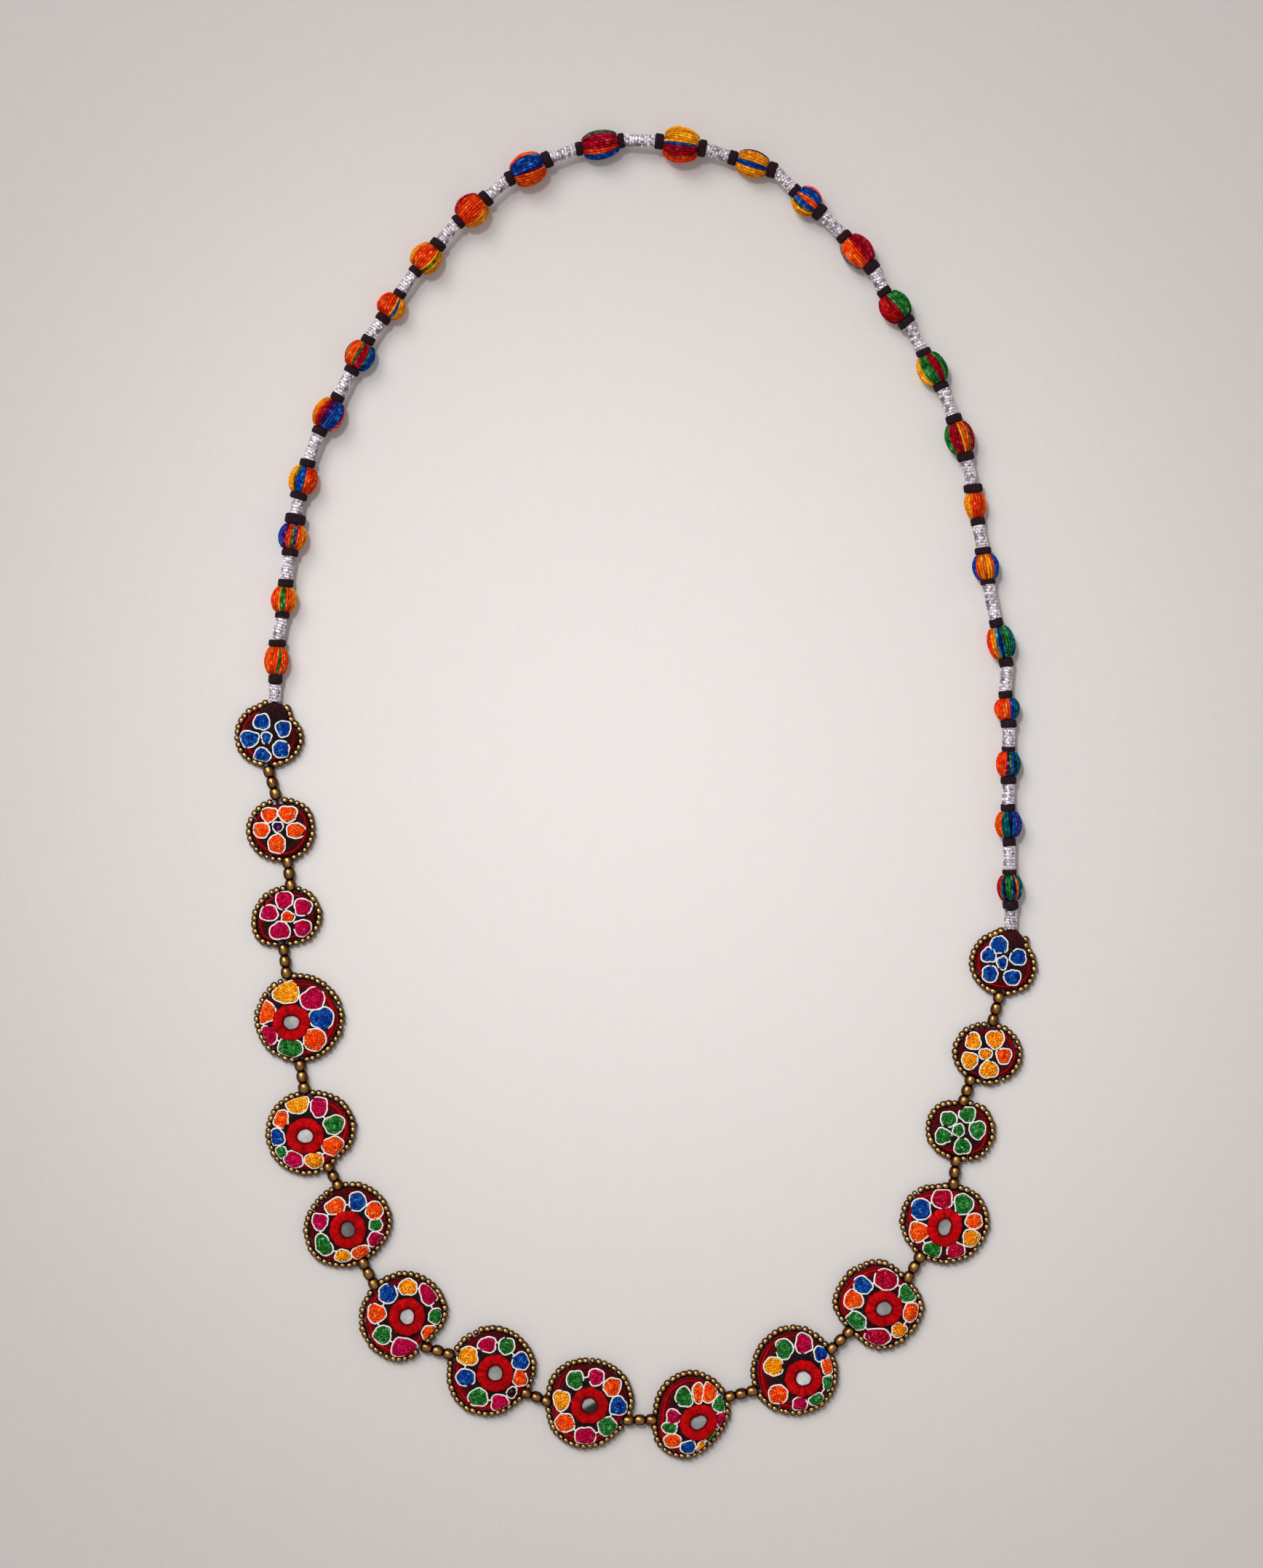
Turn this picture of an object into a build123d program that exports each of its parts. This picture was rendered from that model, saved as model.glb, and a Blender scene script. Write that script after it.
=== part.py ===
"""Long folk necklace: sixteen embroidered discs, yarn-wound beads and brass beads on one thread.

The necklace lies flat on its back as a closed loop. X runs to the right, Y runs from the discs at
the bottom of the loop to the beads behind the neck, and Z points up. All lengths are millimetres.
"""

from collections import namedtuple
from math import cos, pi, radians, sin, tan
import os

from build123d import *

# Air between neighbouring pieces, and the play of the thread in every drilled hole.
clearance = 0.15
bore_slack = 0.25

# Stringing thread.
thread_diameter = 0.9
thread_bend = 4.0

# Embroidered discs. The radii include the seed-bead edging.
large_radius = 15.5
small_radius = 12.0
rim_height = 3.6
large_crown = 5.0
small_crown = 4.8
rim_rounding = 0.9
seed_diameter = 2.2
edging_height = 1.9
edging_gap = 0.22

# Cloth neck on the two end discs, where the first and the last sleeve go in.
neck_diameter = 9.2
neck_height = 5.2
neck_rounding = 1.4
neck_entry_height = 2.7

# Mirrors and the stitched rings that hold them.
mirror_diameter = 10.0
mirror_thickness = 0.8
mirror_opening = 5.2
ring_diameter = 13.0
ring_rise = 0.9
ring_lip = 0.35
seat_depth = 1.1

# Yarn-wound beads, their black collars and the silver sleeves between them. A bead's flatness is
# the share of each half that its flat middle holds, and its ends rise by a share of the bulge
# within a share of the half.
bead_length = 10.0
bead_width = 10.0
bead_flatness = 0.55
bead_end_run = 0.12
bead_end_rise = 0.55
collar_length = 2.6
collar_diameter = 5.4
collar_rounding = 0.6
sleeve_diameter = 4.0

# Brass beads between the discs.
spacer_diameter = 3.9
spacer_length = 2.4
spacer_end_diameter = 2.5
spacers_in_row = 3

# Every hole is drilled for the thread, and the brass beads rest on the surface.
bore_radius = thread_diameter / 2 + bore_slack
row_height = spacer_diameter / 2

# The chosen places along the string, in travel order from the left end disc up, over and down to
# the right end disc. Heading is the travel direction in degrees from +X. Length and width are
# shares of bead_length and bead_width, and belly is where along the bead it is widest.
YarnBead = namedtuple("YarnBead", "x y heading length width belly")
yarn_beads = [
    YarnBead(-123.6, 45.9, 87, 0.95, 0.85, 0.50),
    YarnBead(-121.0, 66.8, 84, 0.85, 0.90, 0.50),
    YarnBead(-118.0, 88.4, 81, 0.86, 1.00, 0.50),
    YarnBead(-114.4, 107.9, 75, 0.92, 1.00, 0.50),
    YarnBead(-105.6, 130.4, 62, 1.03, 1.08, 0.48),
    YarnBead(-94.9, 150.6, 62, 0.92, 1.03, 0.50),
    YarnBead(-84.0, 167.6, 56, 0.76, 1.00, 0.42),
    YarnBead(-72.0, 184.0, 50, 0.93, 1.08, 0.44),
    YarnBead(-56.4, 200.4, 40, 0.98, 1.15, 0.50),
    YarnBead(-37.1, 214.5, 27, 1.13, 1.17, 0.50),
    YarnBead(-12.3, 223.0, 11, 1.23, 1.03, 0.45),
    YarnBead(15.4, 222.8, -9, 1.20, 1.25, 0.40),
    YarnBead(39.9, 216.5, -17, 1.08, 0.95, 0.50),
    YarnBead(58.6, 203.6, -41, 0.86, 1.05, 0.50),
    YarnBead(76.0, 186.3, -48, 1.10, 1.06, 0.48),
    YarnBead(88.9, 167.3, -54, 1.00, 1.07, 0.50),
    YarnBead(101.6, 146.0, -63, 1.05, 1.05, 0.52),
    YarnBead(111.1, 122.3, -73, 1.07, 1.03, 0.48),
    YarnBead(116.6, 99.3, -82, 0.87, 0.76, 0.45),
    YarnBead(120.0, 78.0, -81, 0.87, 0.95, 0.50),
    YarnBead(125.3, 52.1, -76, 1.07, 0.98, 0.52),
    YarnBead(127.4, 29.3, -84, 0.72, 0.90, 0.45),
    YarnBead(127.9, 10.4, -90, 0.84, 0.86, 0.50),
    YarnBead(127.9, -10.4, -88, 0.88, 0.95, 0.48),
    YarnBead(128.4, -32.1, -88, 0.88, 0.91, 0.50),
]

# Discs in travel order from the right end disc down and round to the left end disc, numbered as
# they are named. The last eight columns are the outline's reach to the east, north-east and so on,
# as shares of the disc's radius. Mirror columns are shares of the radius too.
Disc = namedtuple("Disc", "number x y size mirror_x mirror_y e ne n nw w sw s se")
discs = [
    Disc(16, 126.5, -58.0, "small", 0, 0, 0.98, 0.86, 0.96, 1.00, 1.02, 1.00, 0.96, 1.04),
    Disc(15, 121.0, -89.0, "small", 0, 0, 1.04, 0.96, 0.90, 1.00, 1.06, 0.98, 0.94, 1.00),
    Disc(14, 111.6, -115.8, "small", 0, 0, 1.02, 1.02, 0.88, 1.06, 1.03, 0.94, 0.88, 1.04),
    Disc(13, 106.4, -147.9, "large", -0.03, -0.05, 1.00, 1.02, 0.89, 1.06, 1.03, 0.94, 0.90, 0.94),
    Disc(12, 83.4, -175.9, "large", 0.11, -0.05, 1.05, 0.89, 1.06, 1.02, 1.06, 0.84, 1.05, 0.98),
    Disc(11, 54.5, -198.0, "large", 0.19, -0.17, 0.98, 0.95, 1.03, 0.98, 0.98, 1.05, 1.03, 1.06),
    Disc(10, 18.8, -213.4, "large", 0.17, -0.15, 0.90, 0.95, 1.02, 0.92, 0.84, 1.06, 1.02, 0.79),
    Disc(9, -15.9, -209.6, "large", -0.01, -0.02, 1.00, 1.02, 1.02, 1.10, 0.98, 1.08, 1.03, 0.92),
    Disc(8, -49.5, -198.4, "large", 0.07, -0.03, 1.00, 1.00, 1.03, 1.00, 1.02, 1.10, 1.03, 0.92),
    Disc(7, -79.9, -179.6, "large", 0.08, 0.01, 1.00, 1.02, 1.03, 0.97, 1.02, 1.05, 1.05, 0.79),
    Disc(6, -98.6, -148.0, "large", -0.03, -0.10, 0.98, 0.98, 0.97, 0.92, 1.03, 1.13, 0.97, 0.87),
    Disc(5, -111.8, -116.5, "large", -0.12, -0.06, 1.03, 1.03, 0.95, 1.02, 1.03, 1.03, 0.97, 0.85),
    Disc(4, -115.8, -77.0, "large", -0.17, -0.09, 1.03, 0.98, 1.02, 0.98, 1.02, 1.03, 1.02, 1.00),
    Disc(3, -120.3, -41.5, "small", 0, 0, 1.04, 0.98, 0.85, 0.88, 1.00, 1.19, 0.90, 1.02),
    Disc(2, -122.3, -12.4, "small", 0, 0, 1.02, 1.06, 0.94, 0.98, 1.02, 0.98, 0.94, 1.00),
    Disc(1, -126.3, 20.4, "small", 0, 0, 1.04, 0.84, 0.96, 0.98, 1.02, 1.02, 0.94, 1.02),
]

# Where the row of brass beads runs between each disc and the next one, in the same order.
BrassRow = namedtuple("BrassRow", "x y heading")
brass_rows = [
    BrassRow(123.4, -75.4, -105),
    BrassRow(113.8, -102.1, -108),
    BrassRow(109.6, -130.6, -96),
    BrassRow(95.4, -163.1, -120),
    BrassRow(69.6, -188.5, -136),
    BrassRow(37.6, -205.9, -166),
    BrassRow(0.9, -215.3, -179),
    BrassRow(-34.1, -207.5, 159),
    BrassRow(-66.1, -192.1, 164),
    BrassRow(-91.6, -165.8, 117),
    BrassRow(-103.9, -132.0, 117),
    BrassRow(-115.1, -96.1, 100),
    BrassRow(-120.8, -57.4, 97),
    BrassRow(-119.4, -27.4, 97),
    BrassRow(-125.1, 3.6, 106),
]

# The rows are gathered in three stretches of the string, one node each.
row_stretches = {"right": range(0, 5), "bottom": range(5, 9), "left": range(9, 15)}

# Centres of the cloth necks: on the right end disc, then on the left one.
NeckPlace = namedtuple("NeckPlace", "x y")
right_neck = NeckPlace(128.9, -51.1)
left_neck = NeckPlace(-124.6, 27.1)

Run = namedtuple("Run", "start end")


def write(part, name):
    """Label a finished piece and write it to its own file."""
    part.label = name
    export_step(part, f"parts/{name}.step")


def direction(heading):
    """Unit vector in the XY plane at a heading in degrees."""
    return Vector(cos(radians(heading)), sin(radians(heading)), 0)


def along(run):
    """Unit vector from a run's start to its end."""
    return (run.end - run.start).normalized()


def lengthwise_plane(run):
    """Upright plane through a run: its x axis lies along the run and its origin is the start."""
    side = along(run).cross(Vector(0, 0, 1))
    return Plane(origin=run.start, x_dir=along(run), z_dir=side)


def across_plane(point, heading_vector):
    """Plane through a point, square to a direction."""
    return Plane(origin=point, z_dir=heading_vector)


def bead_size(bead):
    """Length and widest radius of one yarn bead."""
    return bead.length * bead_length, bead.width * bead_width / 2


def bead_run(bead):
    """Run of a yarn bead and its two collars, at the height where the bead rests on the ground."""
    length, radius = bead_size(bead)
    half_span = length / 2 + clearance + collar_length
    middle = Vector(bead.x, bead.y, radius)
    reach = direction(bead.heading) * half_span
    return Run(middle - reach, middle + reach)


def disc_radius(disc):
    """Nominal radius of a disc, edging included."""
    return large_radius if disc.size == "large" else small_radius


def outline_corners(disc, inset):
    """Corners of the eight-sided form that the disc's rounded outline touches."""
    shares = (disc.e, disc.ne, disc.n, disc.nw, disc.w, disc.sw, disc.s, disc.se)
    step = 2 * pi / len(shares)
    stretch = 1 / cos(step / 2)
    corners = []
    for index, share in enumerate(shares):
        reach = (share * disc_radius(disc) - inset) * stretch
        corners.append((disc.x + reach * cos(index * step), disc.y + reach * sin(index * step)))
    return corners


def corner_radii(corners):
    """Largest arc that each corner of a closed outline has room for."""
    points = [Vector(*corner) for corner in corners]
    radii = []
    for index, point in enumerate(points):
        arriving = point - points[index - 1]
        leaving = points[(index + 1) % len(points)] - point
        half_turn = radians(arriving.get_angle(leaving)) / 2
        room = 0.48 * min(arriving.length, leaving.length)
        radii.append(room / tan(half_turn))
    return radii


def draw_outline(disc, inset):
    """Rounded outline of a disc, drawn in by inset, inside a BuildLine block."""
    corners = outline_corners(disc, inset)
    FilletPolyline(*corners, radius=corner_radii(corners), close=True)


def outline_face(disc):
    """Flat face that fills the whole outline of a disc."""
    with BuildSketch() as filled:
        with BuildLine():
            draw_outline(disc, 0)
        make_face()
    return filled.face()


def free_run(start, heading_vector, half_width, outline):
    """Distance that a bar of the given half width can be pushed before it meets an outline."""
    touching = 0.01
    furthest = 2 * large_radius
    side = heading_vector.rotate(Axis.Z, 90) * half_width
    travels = []
    for lane in (start - side, start, start + side):
        travelled = 0
        gap = outline.distance_to(lane)
        while gap > touching and travelled < furthest:
            travelled += gap
            gap = outline.distance_to(lane + heading_vector * travelled)
        travels.append(travelled)
    return min(travels)


def row_run(row, outline_before, outline_after):
    """Run of a row of brass beads, from one disc's outline to the next one's."""
    middle = Vector(row.x, row.y, 0)
    ahead = direction(row.heading)
    half_width = spacer_end_diameter / 2
    room_before = free_run(middle, ahead * -1, half_width, outline_before)
    room_after = free_run(middle, ahead, half_width, outline_after)
    lift = Vector(0, 0, row_height)
    return Run(middle - ahead * room_before + lift, middle + ahead * room_after + lift)


def neck_point(neck, bead_end):
    """Point on a cloth neck's wall that faces the end of the nearest bead."""
    centre = Vector(neck.x, neck.y, neck_entry_height)
    outwards = Vector(bead_end.X - neck.x, bead_end.Y - neck.y, 0).normalized()
    return centre + outwards * (neck_diameter / 2)


bead_runs = [bead_run(bead) for bead in yarn_beads]
outlines = [outline_face(disc) for disc in discs]
row_runs = [row_run(row, outlines[i], outlines[i + 1]) for i, row in enumerate(brass_rows)]
left_entry = neck_point(left_neck, bead_runs[0].start)
right_entry = neck_point(right_neck, bead_runs[-1].end)

# The thread's straight run inside each disc, in the order of the disc list.
disc_starts = [right_entry] + [run.end for run in row_runs]
disc_ends = [run.start for run in row_runs] + [left_entry]
disc_runs = [Run(start, end) for start, end in zip(disc_starts, disc_ends)]


def drill(run):
    """Cut the thread's hole along a run, past both its ends, inside a BuildPart block."""
    overshoot = seed_diameter
    start = run.start - along(run) * overshoot
    with BuildSketch(across_plane(start, along(run))) as hole:
        Circle(bore_radius)
    length = (run.end - run.start).length + 2 * overshoot
    extrude(hole.sketch, amount=length, mode=Mode.SUBTRACT)


def neck_of(disc):
    """The cloth neck that a disc carries, or None."""
    return {discs[0].number: right_neck, discs[-1].number: left_neck}.get(disc.number)


def mirror_centre(disc):
    """Centre of a large disc's mirror in the XY plane."""
    reach = disc_radius(disc)
    return disc.x + disc.mirror_x * reach, disc.y + disc.mirror_y * reach


def pad(disc, run):
    """Padded cloth disc: flat back, upright rim, domed front, drilled for the thread."""
    crown = large_crown if disc.size == "large" else small_crown
    inset = seed_diameter + edging_gap
    rim_radius = disc_radius(disc) - inset
    rise = crown - rim_height
    dome_radius = (rim_radius**2 + rise**2) / (2 * rise)
    with BuildPart() as cloth:
        with BuildSketch():
            with BuildLine():
                draw_outline(disc, inset)
            make_face()
        extrude(amount=crown)
        with Locations((disc.x, disc.y, crown - dome_radius)):
            Sphere(dome_radius, mode=Mode.INTERSECT)
        rim_edges = cloth.edges().filter_by_position(Axis.Z, rim_rounding, crown)
        upper = [edge for edge in rim_edges if edge.bounding_box().min.Z > rim_rounding]
        fillet(upper, rim_rounding)
        if neck_of(disc):
            add(neck(neck_of(disc)))
        drill(run)
        if disc.size == "large":
            with BuildSketch(Plane.XY.offset(crown - seat_depth)):
                with Locations(mirror_centre(disc)):
                    Circle(ring_diameter / 2 + clearance)
            extrude(amount=2 * seat_depth, mode=Mode.SUBTRACT)
    return cloth.part


def neck(place):
    """Round cloth hump that takes the end of a sleeve."""
    with BuildPart(mode=Mode.PRIVATE) as hump:
        with BuildSketch():
            with Locations((place.x, place.y)):
                Circle(neck_diameter / 2)
        extrude(amount=neck_height)
        fillet(hump.faces().sort_by(Axis.Z)[-1].edges(), neck_rounding)
    return hump.part


def edging(disc, run):
    """Ring that the seed beads round a disc fill, drilled where the thread passes."""
    with BuildPart() as ring:
        with BuildLine(Plane.XY.offset(edging_height)) as path:
            draw_outline(disc, seed_diameter / 2)
        wire = path.wire()
        with BuildSketch(across_plane(wire @ 0, wire % 0)):
            Circle(seed_diameter / 2)
        sweep(path=wire)
        drill(run)
        if neck_of(disc):
            place = neck_of(disc)
            with BuildSketch():
                with Locations((place.x, place.y)):
                    Circle(neck_diameter / 2 + clearance)
            extrude(amount=neck_height, mode=Mode.SUBTRACT)
    return ring.part


def bulge(widest, radius, end, shoulder):
    """Profile of one half of a yarn bead, from its widest place to its end."""
    half = end - widest
    Bezier(
        (widest, radius),
        (widest + bead_flatness * half, radius),
        (end - bead_end_run * half, shoulder + bead_end_rise * (radius - shoulder)),
        (end, shoulder),
    )


def yarn_bead(bead, run):
    """Egg of wound yarn: two bulging halves that meet at its widest place, turned about the
    thread.
    """
    length, radius = bead_size(bead)
    near = clearance + collar_length
    far = near + length
    widest = near + bead.belly * length
    shoulder = collar_diameter / 2
    with BuildPart() as egg:
        with BuildSketch(lengthwise_plane(run)):
            with BuildLine():
                bulge(widest, radius, near, shoulder)
                bulge(widest, radius, far, shoulder)
                Polyline((near, shoulder), (near, bore_radius), (far, bore_radius), (far, shoulder))
            make_face()
        revolve(axis=Axis(run.start, along(run)))
    return egg.part


def collar_form():
    """One collar, standing on the XY plane, with rounded outer edges."""
    with BuildPart() as form:
        Cylinder(
            collar_diameter / 2, collar_length, align=(Align.CENTER, Align.CENTER, Align.MIN)
        )
        fillet(form.edges().filter_by(GeomType.CIRCLE), collar_rounding)
        Hole(bore_radius)
    return form.part


def sleeve_end_gap(sleeve, bead):
    """Gap that keeps a sleeve's square end clear of the collar it points at."""
    turn = radians(along(sleeve).get_angle(along(bead)))
    return clearance + sleeve_diameter / 2 * tan(turn)


def sleeve_tube(run, gap_before, gap_after):
    """Straight drilled tube between two collars."""
    length = (run.end - run.start).length - gap_before - gap_after
    with BuildPart() as tube:
        with BuildSketch(across_plane(run.start + along(run) * gap_before, along(run))):
            Circle(sleeve_diameter / 2)
            Circle(bore_radius, mode=Mode.SUBTRACT)
        extrude(amount=length)
    return tube.part


def spacer_bead(run, near, length):
    """Squat brass bead, turned about the row, with flat drilled ends."""
    far = near + length
    with BuildPart() as barrel:
        with BuildSketch(lengthwise_plane(run)):
            with BuildLine():
                ThreePointArc(
                    (near, spacer_end_diameter / 2),
                    ((near + far) / 2, spacer_diameter / 2),
                    (far, spacer_end_diameter / 2),
                )
                Polyline(
                    (far, spacer_end_diameter / 2),
                    (far, bore_radius),
                    (near, bore_radius),
                    (near, spacer_end_diameter / 2),
                )
            make_face()
        revolve(axis=Axis(run.start, along(run)))
    return barrel.part


def spacer_row(run):
    """Brass beads that share the row's room evenly, fewer where it has no room for all of them."""
    room = (run.end - run.start).length
    fitting = round(room / (spacer_length + clearance))
    count = max(1, min(spacers_in_row, fitting))
    pitch = room / count
    return [
        spacer_bead(run, index * pitch + clearance / 2, pitch - clearance)
        for index in range(count)
    ]


def mirror(disc):
    """Flat round mirror lying on its seat."""
    seat = large_crown - seat_depth + clearance / 2
    with BuildPart() as glass:
        with BuildSketch(Plane.XY.offset(seat)):
            with Locations(mirror_centre(disc)):
                Circle(mirror_diameter / 2)
        extrude(amount=mirror_thickness)
    return glass.part


def mirror_ring(disc):
    """Stitched ring that laps over the mirror's edge, arched on top."""
    x, y = mirror_centre(disc)
    seat = large_crown - seat_depth + clearance / 2
    lip = seat + mirror_thickness + clearance
    outer = ring_diameter / 2
    inner = mirror_opening / 2
    step = mirror_diameter / 2 + clearance
    upright = Plane(origin=(x, y, 0), x_dir=(1, 0, 0), z_dir=(0, -1, 0))
    with BuildPart() as ring:
        with BuildSketch(upright):
            with BuildLine():
                Polyline(
                    (inner, lip + ring_lip),
                    (inner, lip),
                    (step, lip),
                    (step, seat),
                    (outer, seat),
                    (outer, large_crown),
                )
                ThreePointArc(
                    (outer, large_crown),
                    ((outer + inner) / 2, large_crown + ring_rise),
                    (inner, lip + ring_lip),
                )
            make_face()
        revolve(axis=Axis((x, y, 0), (0, 0, 1)))
    return ring.part


def thread_corners():
    """Points where the thread turns, in travel order, without those where it runs straight on."""
    slightest_turn = 1.5
    points = [left_entry]
    for run in bead_runs + [Run(right_entry, None)] + row_runs:
        points += [end for end in run if end is not None]
    kept = []
    for index, point in enumerate(points):
        arriving = point - points[index - 1]
        leaving = points[(index + 1) % len(points)] - point
        if arriving.get_angle(leaving) > slightest_turn:
            kept.append(point)
    return kept


def thread_span(points):
    """Open span of thread through a few points, with its corners rounded."""
    with BuildPart() as span:
        with BuildLine() as path:
            FilletPolyline(*points, radius=thread_bend)
        wire = path.wire()
        with BuildSketch(across_plane(wire @ 0, wire % 0)):
            Circle(thread_diameter / 2)
        sweep(path=wire)
    section = pi * thread_diameter**2 / 4
    print(f"thread span {wire.length:.1f} mm, volume {span.part.volume:.1f} mm3")
    print(f"section times length {section * wire.length:.1f} mm3")
    return span.part


def stringing_thread():
    """One closed loop of thread through every bead and disc, made as two spans that join."""
    corners = thread_corners()
    half = len(corners) // 2
    first_joint = (corners[0] + corners[1]) / 2
    second_joint = (corners[half] + corners[half + 1]) / 2
    with BuildPart() as loop:
        add(thread_span([first_joint] + corners[1 : half + 1] + [second_joint]))
        add(thread_span([second_joint] + corners[half + 1 :] + [corners[0], first_joint]))
    return loop.part


def gathered(solids):
    """One part that holds loose solids."""
    with BuildPart() as group:
        add(solids)
    return group.part


def main():
    """Build every piece and write it."""
    os.makedirs("parts", exist_ok=True)
    large_discs = [disc for disc in discs if disc.size == "large"]

    for disc, run in zip(discs, disc_runs):
        write(pad(disc, run), f"disc_{disc.number:02d}")
    for index, (bead, run) in enumerate(zip(yarn_beads, bead_runs)):
        write(yarn_bead(bead, run), f"yarn_bead_{index + 1:02d}")

    write(gathered([edging(disc, run) for disc, run in zip(discs, disc_runs)]), "seed_edging")
    write(gathered([mirror(disc) for disc in large_discs]), "mirrors")
    write(gathered([mirror_ring(disc) for disc in large_discs]), "mirror_rings")
    for side, rows in row_stretches.items():
        beads = [bead for index in rows for bead in spacer_row(row_runs[index])]
        write(gathered(beads), f"brass_spacers_{side}")

    with BuildPart() as collars:
        for run in bead_runs:
            near_plane = across_plane(run.start, along(run))
            far_plane = across_plane(run.end, along(run) * -1)
            with Locations(near_plane.location, far_plane.location):
                add(collar_form())
    write(collars.part, "black_collars")

    sleeves = []
    ends = [left_entry] + [run.end for run in bead_runs]
    starts = [run.start for run in bead_runs] + [right_entry]
    neighbours = [bead_runs[0]] + bead_runs + [bead_runs[-1]]
    for index, (start, end) in enumerate(zip(ends, starts)):
        run = Run(start, end)
        gap_before = sleeve_end_gap(run, neighbours[index])
        gap_after = sleeve_end_gap(run, neighbours[index + 1])
        sleeves.append(sleeve_tube(run, gap_before, gap_after))
    write(gathered(sleeves), "silver_sleeves")
    write(stringing_thread(), "stringing_thread")


main()
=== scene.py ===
"""Embroidered necklace: stitched mirror discs and yarn-wound beads on one closed thread.

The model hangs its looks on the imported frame. Lengths in this file are millimetres until a mesh
is made, X points to the right, Y to the top of the loop and Z up from the ground.
"""

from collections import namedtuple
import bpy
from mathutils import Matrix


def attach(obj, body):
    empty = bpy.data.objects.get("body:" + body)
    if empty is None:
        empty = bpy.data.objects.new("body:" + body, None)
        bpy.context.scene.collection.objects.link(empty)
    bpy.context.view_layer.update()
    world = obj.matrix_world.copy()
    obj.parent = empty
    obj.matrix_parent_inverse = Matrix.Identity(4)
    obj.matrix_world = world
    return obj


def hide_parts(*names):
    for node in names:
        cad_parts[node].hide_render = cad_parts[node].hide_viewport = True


bl_info = {
    "name": "Embroidered Necklace",
    "version": (1, 0, 0),
    "blender": (4, 5, 0),
    "location": "View3D > Sidebar > Necklace",
    "description": "Builds an embroidered necklace with yarn-wound beads, stitch by stitch",
    "category": "Add Mesh",
}

import bpy
import numpy as np

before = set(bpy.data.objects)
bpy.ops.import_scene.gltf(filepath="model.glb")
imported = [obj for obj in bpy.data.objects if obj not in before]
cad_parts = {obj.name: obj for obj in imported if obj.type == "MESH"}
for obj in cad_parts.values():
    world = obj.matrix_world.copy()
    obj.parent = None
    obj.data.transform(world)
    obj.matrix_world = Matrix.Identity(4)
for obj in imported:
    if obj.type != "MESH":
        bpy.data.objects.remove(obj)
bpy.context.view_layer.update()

MM = 0.001
TURN = 2 * np.pi
UP = np.array([0.0, 0.0, 1.0])

# Discs in the order of the string, with the place of each one's middle.
Disc = namedtuple("Disc", "number x y size")
discs = [
    Disc(1, -126.3, 20.4, "small"),
    Disc(2, -122.3, -12.4, "small"),
    Disc(3, -120.3, -41.5, "small"),
    Disc(4, -115.8, -77.0, "large"),
    Disc(5, -111.8, -116.5, "large"),
    Disc(6, -98.6, -148.0, "large"),
    Disc(7, -79.9, -179.6, "large"),
    Disc(8, -49.5, -198.4, "large"),
    Disc(9, -15.9, -209.6, "large"),
    Disc(10, 18.8, -213.4, "large"),
    Disc(11, 54.5, -198.0, "large"),
    Disc(12, 83.4, -175.9, "large"),
    Disc(13, 106.4, -147.9, "large"),
    Disc(14, 111.6, -115.8, "small"),
    Disc(15, 121.0, -89.0, "small"),
    Disc(16, 126.5, -58.0, "small"),
]

# Cloth humps on the two end discs, where the sleeves go in.
Hump = namedtuple("Hump", "x y")
humps = {1: Hump(-124.6, 27.1), 16: Hump(128.9, -51.1)}

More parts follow.
